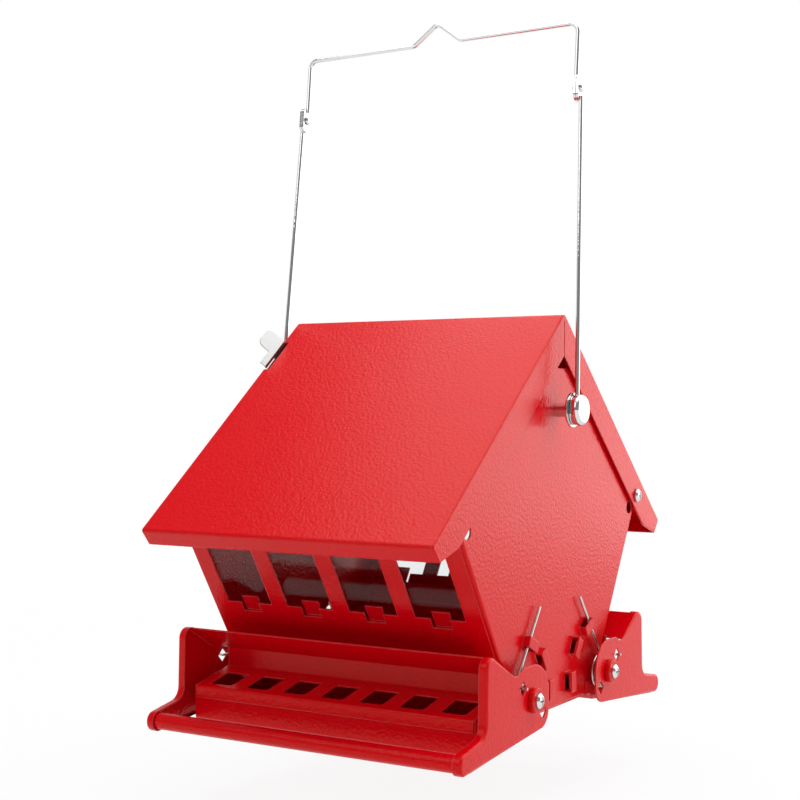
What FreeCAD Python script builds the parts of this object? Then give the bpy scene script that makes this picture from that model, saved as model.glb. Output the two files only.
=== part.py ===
import FreeCAD, Part
import Sketcher
import math
import os
import re
import string

# Two-sided hopper bird feeder with weight-operated shields, millimetres, +Z up
# X runs along the ridge, Y through the feeder, rear pieces are drawn and front ones mirrored

document = FreeCAD.newDocument("hopper_bird_feeder")
sizes = document.addObject("Spreadsheet::Sheet", "sizes")
vector = FreeCAD.Vector
known = {}
formulas = []

SIZES = (
    ("sheet", 1.0, "steel sheet thickness"),
    ("running_gap", 0.05, "radial clearance of a turning fit"),
    ("fit_gap", 0.3, "clearance between neighbouring pieces"),
    ("tolerance", 0.01, "distance under which two places are the same"),
    ("panel_x", 107.0, "outer face of the side panels from the middle"),
    ("panel_bottom", 15.5, "height of the side panels' lower edge"),
    ("shoulder_z", 151.5, "height of the side panels' shoulders"),
    ("gable_gap", 4.2, "side panels' flat top below the catch"),
    ("fold_width", 10.0, "width of the side panels' inward folds"),
    ("fold_radius", 2.0, "outer radius of the side panels' folds"),
    ("floor_fold", 15.0, "width of the side panels' bottom folds"),
    ("corner_hole_y", 125.0, "corner hole from the middle"),
    ("corner_hole_z", 140.5, "corner hole height"),
    ("corner_hole_diameter", 9.0, "corner hole diameter"),
    ("wall_lean", 58.2, "angle of the window walls from level, degrees"),
    ("wall_foot_y", 82.2, "foot of the window walls from the middle"),
    ("wall_foot_z", 53.5, "height of the window walls' foot"),
    ("wall_length", 118.8, "length of the window walls up the slope"),
    ("window_pitch", 49.5, "spacing of the windows"),
    ("window_width", 36.5, "window width"),
    ("window_low", 34.5, "window bottom above the wall's foot, up the slope"),
    ("window_height", 54.0, "window height up the slope"),
    ("notch_width", 14.4, "notch under each window"),
    ("notch_depth", 7.2, "depth of that notch"),
    ("clip_width", 13.2, "pane clip width"),
    ("clip_rise", 4.0, "pane clip above the window bottom"),
    ("pane_thickness", 1.5, "clear pane thickness"),
    ("pane_gap", 0.1, "pane clearance"),
    ("pane_length", 84.0, "clear pane up the slope"),
    ("band_relief", 2.2, "corner relief at the top of the feed plate's back"),
    ("feed_front_y", 117.5, "front edge of the feed plate"),
    ("feed_front_z", 26.5, "height of the feed plate's front edge"),
    ("feed_back_z", 34.5, "height of the feed plate's rear bend"),
    ("feed_lip", 8.0, "drop of the feed plate's front lip"),
    ("feed_lap", 12.0, "lap of the feed plate behind the window wall"),
    ("hole_pitch", 29.96, "spacing of the feeding holes"),
    ("hole_width", 17.6, "feeding hole width"),
    ("hole_near_y", 91.8, "feeding hole inner edge"),
    ("hole_far_y", 111.9, "feeding hole outer edge"),
    ("hole_round", 3.0, "outer corner radius of the feeding holes"),
    ("bend_radius", 1.0, "inner radius of the sheet bends"),
    ("pan_lap_y", 46.0, "inner edge of the trough pans"),
    ("pan_lap_width", 5.0, "flat lap of the trough pans"),
    ("pan_knee_y", 56.0, "where the trough floor starts"),
    ("pan_knee_z", 10.0, "height there"),
    ("pan_toe_z", 3.5, "height of the trough floor's outer edge"),
    ("cap_top_z", 23.5, "top of the trough's end caps beside the pivots"),
    ("cap_step_y", 67.2, "where the end caps rise"),
    ("baffle_inset", 1.0, "foot of the seed baffle inside the trough laps' outer edge"),
    ("baffle_rise", 30.0, "height of the seed baffle"),
    ("pivot_y", 60.0, "shield pivot from the middle"),
    ("pivot_z", 30.2, "shield pivot height"),
    ("plate_x", 119.0, "outer face of the shields' end plates"),
    ("plate_fold", 6.0, "width of the end plates' inward fold"),
    ("heel_y", 37.5, "inner end of the end plates"),
    ("heel_base_z", 11.2, "height of the heel's lower corner"),
    ("heel_top_z", 52.4, "height of the heel's top"),
    ("heel_top_end", 72.0, "outer end of the heel's top"),
    ("heel_low_radius", 12.0, "heel lower corner radius"),
    ("heel_high_radius", 21.0, "heel upper corner radius"),
    ("dip_y", 80.0, "dip in the end plates' upper edge"),
    ("dip_z", 48.7, "height of that dip"),
    ("web_low_y", 86.5, "lower edge of the shield's web"),
    ("web_low_z", 49.3, "height of that edge"),
    ("web_width", 29.7, "width of the shield's web"),
    ("crest_y", 121.5, "upper corner of the end plates"),
    ("crest_z", 70.1, "height of that corner"),
    ("crest_radius", 7.0, "radius of that corner"),
    ("shin_y", 122.9, "lower end of the end plates' outer edge"),
    ("ankle_z", 18.7, "height there"),
    ("ankle_radius", 9.0, "radius there"),
    ("toe_y", 154.8, "outer end of the toes"),
    ("toe_top_z", 12.7, "height of the toes"),
    ("toe_radius", 6.2, "toe corner radius"),
    ("toe_fold_length", 14.0, "fold left under the toes"),
    ("perch_y", 147.9, "perch from the middle"),
    ("perch_z", 7.2, "perch height"),
    ("perch_diameter", 11.0, "perch tube diameter"),
    ("spring_hole_radius", 17.0, "spring holes from the pivot"),
    ("spring_hole_angle", 34.0, "angle of the spring holes, degrees"),
    ("spring_hole_side", 7.0, "spring hole side"),
    ("barrel_diameter", 10.4, "pivot bushing barrel diameter"),
    ("bushing_head", 16.0, "pivot bushing head diameter"),
    ("bushing_head_height", 3.4, "pivot bushing head height"),
    ("bushing_chamfer", 0.6, "pivot bushing head chamfer"),
    ("screw_diameter", 4.0, "pivot and hinge screw diameter"),
    ("screw_head", 9.8, "screw head diameter"),
    ("screw_head_height", 3.0, "screw head height"),
    ("screw_rim", 1.35, "straight rim of the screw head"),
    ("screw_shoulder", 6.7, "screw head's shoulder diameter"),
    ("screw_shoulder_height", 2.55, "height of that shoulder"),
    ("screw_crown", 3.4, "flat top of the screw head, diameter"),
    ("recess_width", 1.3, "cross recess slot width"),
    ("recess_length", 5.4, "cross recess slot length"),
    ("recess_depth", 1.6, "cross recess depth"),
    ("nut_flats", 7.0, "nut across flats"),
    ("nut_height", 3.2, "nut height"),
    ("screw_tail", 1.5, "screw end beyond the nut"),
    ("tab_radius", 36.0, "upper spring bridge from the pivot"),
    ("tab_radius_step", 3.5, "growth of that radius from bridge to bridge, downward"),
    ("tab_upper_angle", 64.0, "angle of the upper spring bridge, degrees"),
    ("tab_step_angle", 33.0, "angle between spring bridges, degrees"),
    ("tab_width", 13.5, "spring bridge width, round the pivot"),
    ("tab_length", 7.0, "spring bridge length, away from the pivot"),
    ("spring_wire", 1.9, "spring wire diameter"),
    ("spring_radius", 11.0, "spring mean radius"),
    ("spring_pitch", 2.4, "spring pitch"),
    ("spring_turns", 2.0, "whole turns of each spring"),
    ("spring_stand", 2.7, "first turn from the side panel"),
    ("spring_leg", 62.0, "spring leg's tip from the pivot"),
    ("spring_bend", 2.6, "spring leg bend radius"),
    ("spring_tail", 3.0, "spring tail beyond the end plate"),
    ("roof_side_gap", 1.5, "roof's gable folds from the side panels"),
    ("roof_depth", 174.5, "half depth of the roof"),
    ("roof_rise", 147.4, "rise of the roof"),
    ("ridge_y", 4.2, "ridge from the middle before the tilt"),
    ("roof_stand", 4.8, "roof above the side panels' sloping edges"),
    ("roof_tilt", 1.3, "lift of the closed roof at the front, degrees"),
    ("roof_drip", 12.6, "drip fold at the eaves"),
    ("roof_fold", 22.0, "gable fold of the roof"),
    ("kink_run", 31.5, "length over which the gable fold runs out to the eave"),
    ("ridge_radius", 4.0, "outer radius of the ridge"),
    ("gable_round", 0.9, "outer radius of the gable folds"),
    ("mitre_slit", 0.8, "slit between the gable folds at the ridge"),
    ("mitre_top", 5.0, "top of that slit below the ridge"),
    ("catch_slot_start", 26.0, "catch slot from the ridge"),
    ("catch_slot_length", 32.0, "catch slot length"),
    ("catch_slot_depth", 4.8, "catch slot depth from the roof's end"),
    ("catch_slot_drop", 2.5, "catch slot drop into the gable fold"),
    ("hinge_drop", 17.9, "roof hinge below the roof"),
    ("hinge_shoulder", 5.4, "hinge spacer shoulder diameter"),
    ("hinge_spacer", 9.0, "hinge spacer diameter"),
    ("catch_start", 27.0, "catch from the ridge"),
    ("catch_width", 17.0, "catch width"),
    ("catch_sheet", 0.9, "catch strip thickness"),
    ("catch_pin_drop", 26.0, "catch pin below the roof"),
    ("catch_pin_x", 102.2, "catch pin from the middle"),
    ("catch_pin_diameter", 2.0, "catch pin diameter"),
    ("catch_eye", 4.4, "catch eye diameter"),
    ("catch_rise", 14.0, "catch above the roof"),
    ("catch_reach", 116.4, "catch tip from the middle"),
    ("catch_round", 5.0, "rounding of the catch's tip"),
    ("catch_lip_width", 13.0, "width of the catch's lip"),
    ("catch_lip_rise", 5.5, "lip above the roof"),
    ("catch_lip_reach", 2.4, "outward lean of the lip"),
    ("catch_neck", 2.0, "where the catch starts to lean out, above the roof"),
    ("catch_jog_high", 3.0, "upper end of the catch's jog below the roof"),
    ("catch_jog_low", 7.0, "lower end of the catch's jog below the roof"),
    ("bracket_back", 3.2, "catch bracket's plate behind the pin"),
    ("bracket_foot", 11.0, "catch bracket's foot under the roof"),
    ("ear_margin", 3.0, "catch bracket round its pin"),
    ("hanger_z", 213.5, "hanger pin height"),
    ("hanger_lean", 5.4, "backward lean of the hanger, degrees"),
    ("stud_sleeve", 9.0, "hanger stud sleeve diameter"),
    ("stud_diameter", 5.0, "hanger stud diameter"),
    ("stud_reach", 11.0, "hanger stud sleeve length"),
    ("stud_head", 8.5, "hanger stud's inner head diameter"),
    ("stud_head_height", 1.9, "hanger stud's inner head height"),
    ("stud_cap", 21.0, "hanger stud's domed cap diameter"),
    ("stud_cap_height", 3.6, "height of that cap"),
    ("stud_cap_round", 2.8, "rounding of that cap"),
    ("washer_diameter", 23.0, "hanger washer diameter"),
    ("washer_height", 1.4, "hanger washer thickness"),
    ("wire_diameter", 3.2, "hanger wire diameter"),
    ("spoon_width", 15.0, "flattened lower end of the hanger wires, width"),
    ("spoon_height", 20.0, "flattened lower end, height"),
    ("flat_thickness", 1.8, "thickness of the flattened ends"),
    ("rivet_rise", 220.5, "hanger rivets above the pins"),
    ("arm_top_x", 114.6, "hanger wires at the rivets from the middle"),
    ("paddle_width", 9.6, "flattened ends at the rivets, width"),
    ("paddle_height", 18.5, "flattened ends at the rivets, height"),
    ("rivet_diameter", 4.0, "hanger rivet diameter"),
    ("rivet_head", 6.6, "hanger rivet head diameter"),
    ("rivet_head_height", 1.6, "hanger rivet head height"),
    ("rivet_rim", 0.65, "straight rim of the hanger rivet heads"),
    ("rivet_crown", 3.8, "flat top of the hanger rivet heads, diameter"),
    ("bail_rise", 46.0, "bail corners above the rivets"),
    ("bail_corner", 6.5, "bail corner radius"),
    ("peak_half", 19.0, "half width of the hanging peak"),
    ("peak_rise", 14.5, "height of the hanging peak"),
    ("peak_radius", 5.0, "bend radius of the hanging peak"),
)

for row, (alias, number, note) in enumerate(SIZES, 1):
    sizes.set("A%d" % row, note)
    sizes.set("B%d" % row, str(number))
    sizes.setAlias("B%d" % row, alias)
    known[alias] = "sizes." + alias
document.recompute()


def bound(text):
    """Expression text with every size name given its sheet."""
    return re.sub(r"[a-z]+(?:_[a-z]+)*", lambda found: known.get(found.group(), found.group()), text)


def value(text):
    """Present number of an expression."""
    return float(sizes.evalExpression(bound(text)))


def formula_sheet(name):
    """Start the sheet that holds the formulas of the pieces that follow."""
    formulas.append([document.addObject("Spreadsheet::Sheet", name), 0])


def derive(alias, text):
    """Put one formula in the present formula sheet and return its name."""
    sheet, rows = formulas[-1]
    formulas[-1][1] = rows + 1
    sheet.set("A%d" % (rows + 1), "=" + bound(text).replace(sheet.Name + ".", ""))
    sheet.setAlias("A%d" % (rows + 1), alias)
    known[alias] = sheet.Name + "." + alias
    return alias


def settle():
    """Work out the present formula sheet."""
    formulas[-1][0].recompute()


def band(prefix, path, thickness):
    """Outline of a bent sheet whose outer face follows the path, material on its left."""
    letters = string.ascii_lowercase
    for index in range(len(path) - 1):
        run = "(%s)-(%s)" % (path[index + 1][0], path[index][0])
        rise = "(%s)-(%s)" % (path[index + 1][1], path[index][1])
        length = derive("%s_span_%s" % (prefix, letters[index]), "sqrt((%s)^2+(%s)^2)" % (run, rise))
        derive("%s_side_%s" % (prefix, letters[index]), "-(%s)/%s" % (rise, length))
        derive("%s_up_%s" % (prefix, letters[index]), "(%s)/%s" % (run, length))
    inner = []
    for index in range(len(path)):
        before = letters[max(index - 1, 0)]
        after = letters[min(index, len(path) - 2)]
        names = {"p": prefix, "b": before, "a": after, "t": thickness}
        shared = "(1+%(p)s_side_%(b)s*%(p)s_side_%(a)s+%(p)s_up_%(b)s*%(p)s_up_%(a)s)" % names
        across = "(%s)+%s*(%s_side_%s+%s_side_%s)/%s" % (
            path[index][0], thickness, prefix, before, prefix, after, shared)
        upward = "(%s)+%s*(%s_up_%s+%s_up_%s)/%s" % (
            path[index][1], thickness, prefix, before, prefix, after, shared)
        inner.append((derive("%s_inner_across_%s" % (prefix, letters[index]), across),
                      derive("%s_inner_upward_%s" % (prefix, letters[index]), upward)))
    settle()
    return list(path) + inner[::-1], inner


def attached(owner, name, plane, level):
    """Empty sketch on one of the body's own planes."""
    sketch = owner.newObject("Sketcher::SketchObject", name)
    for feature in owner.Origin.OriginFeatures:
        if feature.Role == plane:
            sketch.AttachmentSupport = [(feature, "")]
    sketch.MapMode = "FlatFace"
    sketch.setExpression("AttachmentOffset.Base.z", bound(level))
    return sketch


def pin_point(sketch, geometry, end, place):
    """Tie a sketch point to its two expressions."""
    for kind, axis, text in (("DistanceX", -2, place[0]), ("DistanceY", -1, place[1])):
        number = value(text)
        if text == "0":
            sketch.addConstraint(Sketcher.Constraint("PointOnObject", geometry, end, axis))
            continue
        index = sketch.addConstraint(Sketcher.Constraint(kind, -1, 1, geometry, end, number))
        sketch.setExpression("Constraints[%d]" % index, bound(text))


def polygons(owner, name, plane, level, loops):
    """Sketch of closed straight-sided outlines."""
    sketch = attached(owner, name, plane, level)
    for loop in loops:
        spots = [vector(value(across), value(upward), 0) for across, upward in loop]
        first = sketch.GeometryCount
        for index in range(len(spots)):
            following = spots[(index + 1) % len(spots)]
            sketch.addGeometry(Part.LineSegment(spots[index], following), False)
        for index in range(len(spots)):
            following = first + (index + 1) % len(spots)
            sketch.addConstraint(Sketcher.Constraint("Coincident", first + index, 2, following, 1))
        for index, place in enumerate(loop):
            pin_point(sketch, first + index, 1, place)
    return sketch


def circles(owner, name, plane, level, places, diameter):
    """Sketch of equal circles."""
    sketch = attached(owner, name, plane, level)
    for place in places:
        centre = vector(value(place[0]), value(place[1]), 0)
        ring = sketch.addGeometry(Part.Circle(centre, vector(0, 0, 1), value(diameter) / 2), False)
        pin_point(sketch, ring, 3, place)
        index = sketch.addConstraint(Sketcher.Constraint("Diameter", ring, value(diameter)))
        sketch.setExpression("Constraints[%d]" % index, bound(diameter))
    return sketch


def body(name):
    """New body."""
    return document.addObject("PartDesign::Body", name)


def finish(owner, feature):
    """Make a feature the body's tip and work it out."""
    owner.Tip = feature
    document.recompute()
    if not feature.isValid() or feature.Shape.isNull():
        raise RuntimeError("%s fails: %s" % (feature.Name, feature.getStatusString()))
    return feature


def pad(owner, sketch, length):
    """Material from a sketch along its normal."""
    feature = owner.newObject("PartDesign::Pad", sketch.Name + "_pad")
    feature.Profile = sketch
    feature.setExpression("Length", bound(length))
    return finish(owner, feature)


def pocket(owner, sketch, length):
    """Cut from a sketch against its normal."""
    before = owner.Shape.Volume
    feature = owner.newObject("PartDesign::Pocket", sketch.Name + "_pocket")
    feature.Profile = sketch
    feature.setExpression("Length", bound(length))
    finish(owner, feature)
    if owner.Shape.Volume > before - value("tolerance"):
        raise RuntimeError(sketch.Name + " cuts nothing")
    return feature


def spun(owner, sketch, axis):
    """Full turn of a sketch about one of its axes."""
    feature = owner.newObject("PartDesign::Revolution", sketch.Name + "_turn")
    feature.Profile = sketch
    feature.ReferenceAxis = (sketch, [axis])
    feature.Angle = 360
    return finish(owner, feature)


def rounded(owner, name, places, radius):
    """Fillet the edges along X that stand on the given places."""
    spots = [(value(across), value(upward)) for across, upward in places]
    chosen = []
    for index, edge in enumerate(owner.Shape.Edges, 1):
        ends = [vertex.Point for vertex in edge.Vertexes]
        if len(ends) != 2 or abs(ends[0].y - ends[1].y) + abs(ends[0].z - ends[1].z) > value("tolerance"):
            continue
        for across, upward in spots:
            if math.hypot(ends[0].y - across, ends[0].z - upward) < value("tolerance"):
                chosen.append("Edge%d" % index)
    return rounded_edges(owner, name, chosen, radius)


def rounded_edges(owner, name, chosen, radius):
    """Fillet the named edges of the body's tip."""
    if not chosen:
        raise RuntimeError(name + " finds no edge")
    base = owner.Tip
    feature = owner.newObject("PartDesign::Fillet", name)
    feature.Base = (base, chosen)
    feature.setExpression("Radius", bound(radius))
    return finish(owner, feature)


def tilted(owner, across, upward, angle):
    """Stand a body at a place in the YZ plane, turned about X."""
    turn = FreeCAD.Rotation(vector(1, 0, 0), value(angle))
    owner.Placement = FreeCAD.Placement(vector(0, value(across), value(upward)), turn)
    owner.setExpression("Placement.Base.y", bound(across))
    owner.setExpression("Placement.Base.z", bound(upward))
    owner.setExpression("Placement.Rotation.Angle", bound(angle))
    document.recompute()


def mirrored(source, name, normal):
    """Mirror image of an object through the middle."""
    copy = document.addObject("Part::Mirroring", name)
    copy.Source = source
    copy.Normal = normal
    document.recompute()
    return copy


ACROSS_X = vector(1, 0, 0)
ACROSS_Y = vector(0, 1, 0)


def both_ends(source, name):
    """Group of a piece and its mirror image at the other end."""
    group = document.addObject("Part::Compound", name)
    group.Links = [source, mirrored(source, name + "_left", ACROSS_X)]
    document.recompute()
    return group


def four_corners(source, name):
    """Group of a piece and its mirror images at the other three corners."""
    pair = both_ends(source, name + "_rear")
    group = document.addObject("Part::Compound", name)
    group.Links = [pair, mirrored(pair, name + "_front", ACROSS_Y)]
    document.recompute()
    return group


def joined(source, name):
    """One piece made of a half and its mirror image."""
    whole = document.addObject("Part::MultiFuse", name)
    whole.Shapes = [source, mirrored(source, name + "_left", ACROSS_X)]
    whole.Refine = True
    document.recompute()
    return whole


def rectangle(low_across, low_upward, high_across, high_upward):
    """Corners of an upright rectangle."""
    return [(low_across, low_upward), (high_across, low_upward),
            (high_across, high_upward), (low_across, high_upward)]


# Places that several pieces share
formula_sheet("shared_places")
derive("panel_inner", "panel_x-sheet")
derive("wall_step", "sheet/sin(wall_lean)")
derive("panel_foot_y", "wall_foot_y-sheet/sin(wall_lean)")
settle()
derive("panel_bottom_y", "panel_foot_y+(panel_bottom-wall_foot_z)/tan(wall_lean)")
derive("shoulder_y", "panel_foot_y+(shoulder_z-wall_foot_z)/tan(wall_lean)")
derive("roof_pitch", "atan(roof_rise/roof_depth)/(1 deg)")
derive("through", "3*sheet")
settle()
derive("ridge_z", "shoulder_z+shoulder_y*tan(roof_pitch)+roof_stand")
derive("plate_inner", "plate_x-sheet")
derive("roof_half", "panel_x+roof_side_gap+sheet")
derive("roof_kink", "roof_depth-kink_run")
derive("front_slope", "roof_pitch-roof_tilt")
settle()

# The roof hinge clears the side panel's fold by a nut and lies under the roof by its drop
derive("hinge_inset", "wall_step+(nut_flats/2+fold_radius-sheet+fit_gap)/sin(wall_lean)")
derive("hinge_roof_level", "ridge_z+ridge_y*tan(roof_pitch)-hinge_drop")
settle()
derive("hinge_wall_level", "panel_foot_y-wall_foot_z/tan(wall_lean)-hinge_inset")
settle()
derive("hinge_y", "(hinge_wall_level+hinge_roof_level/tan(wall_lean))/(1+tan(roof_pitch)/tan(wall_lean))")
settle()
derive("hinge_z", "hinge_roof_level-hinge_y*tan(roof_pitch)")
settle()


def settled_roof(across, upward):
    """Place of a roof point after the closed roof's tilt about its hinge."""
    run, rise = "((%s)-hinge_y)" % across, "((%s)-hinge_z)" % upward
    return ("hinge_y+%s*cos(roof_tilt)+%s*sin(roof_tilt)" % (run, rise),
            "hinge_z-%s*sin(roof_tilt)+%s*cos(roof_tilt)" % (run, rise))


def roof_place(name, across, upward):
    """Named roof point."""
    run, rise = settled_roof(across, upward)
    return derive("roof_across_" + name, run), derive("roof_upward_" + name, rise)


ridge = roof_place("ridge", "ridge_y", "ridge_z")
settle()
derive("catch_end", "catch_start+catch_width")
settle()
derive("gable_z", "roof_upward_ridge-catch_end*sin(front_slope)-catch_jog_low*cos(front_slope)-gable_gap")
settle()
derive("gable_half", "shoulder_y-(gable_z-shoulder_z)/tan(roof_pitch)")
settle()

# Side panel with inward folds, corner holes and lanced spring tabs
formula_sheet("panel_places")
panel = body("side_panel_right")
derive("panel_top_y", "panel_foot_y+(gable_z-wall_foot_z)/tan(wall_lean)")
settle()
pad(panel, polygons(panel, "panel_face", "YZ_Plane", "panel_x-sheet", [[
    ("-panel_bottom_y", "panel_bottom"), ("panel_bottom_y", "panel_bottom"),
    ("panel_top_y", "gable_z"), ("-panel_top_y", "gable_z")]]), "sheet")
for name, side in (("panel_rear_fold", "1*"), ("panel_front_fold", "-1*")):
    fold = [(side + "panel_bottom_y", "panel_bottom"), (side + "panel_top_y", "gable_z"),
            (side + "(panel_top_y-wall_step)", "gable_z"),
            (side + "(panel_bottom_y-wall_step)", "panel_bottom")]
    pad(panel, polygons(panel, name, "YZ_Plane", "panel_x-fold_width", [fold]), "fold_width")


def slanted_edges(owner, level):
    """Edges at one x that run the whole height of the panel."""
    chosen = []
    for index, edge in enumerate(owner.Shape.Edges, 1):
        box = edge.BoundBox
        at_level = abs(box.XMin - value(level)) + abs(box.XMax - value(level)) < value("tolerance")
        if at_level and box.ZLength > value("gable_z-panel_bottom-sheet"):
            chosen.append("Edge%d" % index)
    return chosen


rounded_edges(panel, "panel_fold_inside", slanted_edges(panel, "panel_inner"), "fold_radius-sheet")
rounded_edges(panel, "panel_fold_outside", slanted_edges(panel, "panel_x"), "fold_radius")
gable_cuts = []
for side in ("1*", "-1*"):
    gable_cuts.append([
        (side + "shoulder_y", "shoulder_z"), (side + "(panel_top_y+sheet)", "shoulder_z"),
        (side + "(panel_top_y+sheet)", "gable_z+sheet"),
        (side + "(gable_half-sheet/tan(roof_pitch))", "gable_z+sheet")])
pocket(panel, polygons(panel, "panel_gable", "YZ_Plane", "panel_x+sheet", gable_cuts), "fold_width+2*sheet")
pad(panel, polygons(panel, "panel_floor_fold", "YZ_Plane", "panel_x-floor_fold", [
    rectangle("fit_gap-pan_lap_y", "panel_bottom", "pan_lap_y-fit_gap", "panel_bottom+sheet")]),
    "floor_fold-sheet/2")
corner_holes = [("corner_hole_y", "corner_hole_z"), ("-corner_hole_y", "corner_hole_z")]
pocket(panel, circles(panel, "panel_corner_holes", "YZ_Plane", "panel_x+sheet", corner_holes,
                      "corner_hole_diameter"), "through")
pocket(panel, circles(panel, "panel_screw_holes", "YZ_Plane", "panel_x+sheet", [
    ("pivot_y", "pivot_z"), ("-pivot_y", "pivot_z"), ("hinge_y", "hinge_z")],
    "screw_diameter+2*running_gap"), "through")
pocket(panel, circles(panel, "panel_stud_hole", "YZ_Plane", "panel_x+sheet", [
    ("0", "hanger_z")], "stud_diameter+2*running_gap"), "through")


def tab_corner(sign, step, outward, sideways):
    """Point of a spring bridge, from its middle away from the pivot and sideways."""
    angle = "(tab_upper_angle-%s*tab_step_angle)" % step
    reach = "(tab_radius+%s*tab_radius_step+(%s))" % (step, outward)
    across = "%s(pivot_y-%s*cos(%s)-(%s)*sin(%s))" % (sign, reach, angle, sideways, angle)
    upward = "pivot_z+%s*sin(%s)-(%s)*cos(%s)" % (reach, angle, sideways, angle)
    return across, upward


def tab_strips(low, high):
    """Strips of the six spring bridges between two distances sideways."""
    near, far = "-tab_length/2", "tab_length/2"
    corners = [(near, low), (far, low), (far, high), (near, high)]
    return [[tab_corner(sign, step, outward, sideways) for outward, sideways in corners]
            for sign in ("1*", "-1*") for step in ("0", "1", "2")]


derive("tab_inside", "tab_width/2-sheet")
derive("tab_height", "spring_stand+spring_wire/2+fit_gap+sheet")
settle()
pocket(panel, polygons(panel, "tab_openings", "YZ_Plane", "panel_x+sheet",
                       tab_strips("-tab_inside", "tab_inside")), "through")
pad(panel, polygons(panel, "tab_risers", "YZ_Plane", "panel_inner",
                    tab_strips("-tab_width/2", "-tab_inside") + tab_strips("tab_inside", "tab_width/2")),
    "sheet+tab_height")
pad(panel, polygons(panel, "tab_straps", "YZ_Plane", "panel_x+tab_height-sheet",
                    tab_strips("-tab_width/2", "tab_width/2")), "sheet")
mirrored(panel, "side_panel_left", ACROSS_X)

# Window wall, drawn flat on its outer face, with the clips that hold the pane
formula_sheet("wall_places")
wall = body("rear_wall")
derive("wall_half", "panel_x-fold_radius")
settle()
pad(wall, polygons(wall, "wall_face", "XY_Plane", "0*sheet", [
    rectangle("-wall_half", "0", "wall_half", "wall_length")]), "sheet")
window_middles = ["(%s*window_pitch)" % share for share in ("-1.5", "-0.5", "0.5", "1.5")]
window_loops = []
for middle in window_middles:
    left, right = middle + "-window_width/2", middle + "+window_width/2"
    near, far = middle + "-notch_width/2", middle + "+notch_width/2"
    base, low, high = "window_low-notch_depth", "window_low", "window_low+window_height"
    window_loops.append([(left, low), (near, low), (near, base), (far, base), (far, low),
                         (right, low), (right, high), (left, high)])
pocket(wall, polygons(wall, "wall_windows", "XY_Plane", "2*sheet", window_loops), "through")
derive("clip_base", "window_low-notch_depth-fit_gap")
derive("clip_back", "sheet+2*pane_gap+pane_thickness")
settle()
for letter, middle in zip("abcd", window_middles):
    pad(wall, polygons(wall, "clip_" + letter, "YZ_Plane", middle + "-clip_width/2", [[
        ("clip_base-sheet", "sheet"), ("clip_base", "sheet"), ("clip_base", "clip_back"),
        ("window_low+clip_rise", "clip_back"), ("window_low+clip_rise", "clip_back+sheet"),
        ("clip_base-sheet", "clip_back+sheet")]]), "clip_width")
tilted(wall, "wall_foot_y", "wall_foot_z", "wall_lean")
mirrored(wall, "front_wall", ACROSS_Y)

# Clear pane behind the windows
pane = body("rear_pane")
derive("pane_half", "panel_x-fold_width-fit_gap")
settle()
pad(pane, polygons(pane, "pane_face", "XY_Plane", "sheet+pane_gap", [
    rectangle("-pane_half", "clip_base", "pane_half", "clip_base+pane_length")]), "pane_thickness")
tilted(pane, "wall_foot_y", "wall_foot_z", "wall_lean")
mirrored(pane, "front_pane", ACROSS_Y)

# Feed plate: lap behind the wall, upright back, sloping plate with feeding holes, lip
formula_sheet("feed_places")
feed = body("rear_feed_plate")
feed_path = [("feed_front_y", "feed_front_z-feed_lip"), ("feed_front_y", "feed_front_z"),
             ("panel_foot_y", "feed_back_z"), ("panel_foot_y", "wall_foot_z"),
             ("panel_foot_y+feed_lap*cos(wall_lean)", "wall_foot_z+feed_lap*sin(wall_lean)")]
feed_outline, feed_inner = band("feed", feed_path, "sheet")
pad(feed, polygons(feed, "feed_middle", "YZ_Plane", "-pane_half", [feed_outline]), "2*pane_half")
end_path = feed_path[:3] + [("panel_foot_y", "wall_foot_z-band_relief")]
end_outline = band("feedend", end_path, "sheet")[0]
pad(feed, polygons(feed, "feed_full", "YZ_Plane", "-panel_x", [end_outline]), "2*panel_x")
rounded(feed, "feed_outer_bends", [feed_path[1], feed_inner[2]], "bend_radius+sheet")
rounded(feed, "feed_inner_bends", [feed_inner[1], feed_path[2]], "bend_radius")
hole_loops = []
for share in range(-3, 4):
    middle = "(%d*hole_pitch)" % share
    left, right = middle + "-hole_width/2", middle + "+hole_width/2"
    hole_loops.append(rectangle(left, "hole_near_y", right, "hole_far_y"))
pocket(feed, polygons(feed, "feed_holes", "XY_Plane", "feed_back_z+sheet", hole_loops),
       "feed_back_z-feed_front_z+4*sheet")
hole_corners = []
for index, edge in enumerate(feed.Shape.Edges, 1):
    box = edge.BoundBox
    upright = box.XLength + box.YLength < value("tolerance")
    if upright and abs(box.YMin - value("hole_far_y")) < value("tolerance"):
        hole_corners.append("Edge%d" % index)
rounded_edges(feed, "feed_hole_round", hole_corners, "hole_round")
mirrored(feed, "front_feed_plate", ACROSS_Y)

# Trough pan under the feed plate, with its apron and end caps
formula_sheet("pan_places")
pan = body("rear_trough")
derive("apron_y", "feed_front_y-sheet")
derive("apron_top", "feed_front_z-sheet-bend_radius-fit_gap")
derive("pan_lap_z", "panel_bottom-sheet")
settle()
pan_path = [("pan_lap_y", "pan_lap_z"), ("pan_lap_y+pan_lap_width", "pan_lap_z"),
            ("pan_knee_y", "pan_knee_z"), ("apron_y", "pan_toe_z"), ("apron_y", "apron_top")]
pan_outline, pan_inner = band("pan", pan_path, "sheet")
pad(pan, polygons(pan, "pan_section", "YZ_Plane", "-panel_x", [pan_outline]), "2*panel_x")
cap_outline = pan_path[:4] + [
    ("apron_y", "feed_front_z+sheet*(feed_back_z-feed_front_z)/(feed_front_y-panel_foot_y)"),
    ("panel_foot_y", "feed_back_z"), ("panel_foot_y", "wall_foot_z-band_relief"),
    ("cap_step_y", "pivot_z"), ("cap_step_y", "cap_top_z"), ("pan_lap_y", "cap_top_z")]
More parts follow.
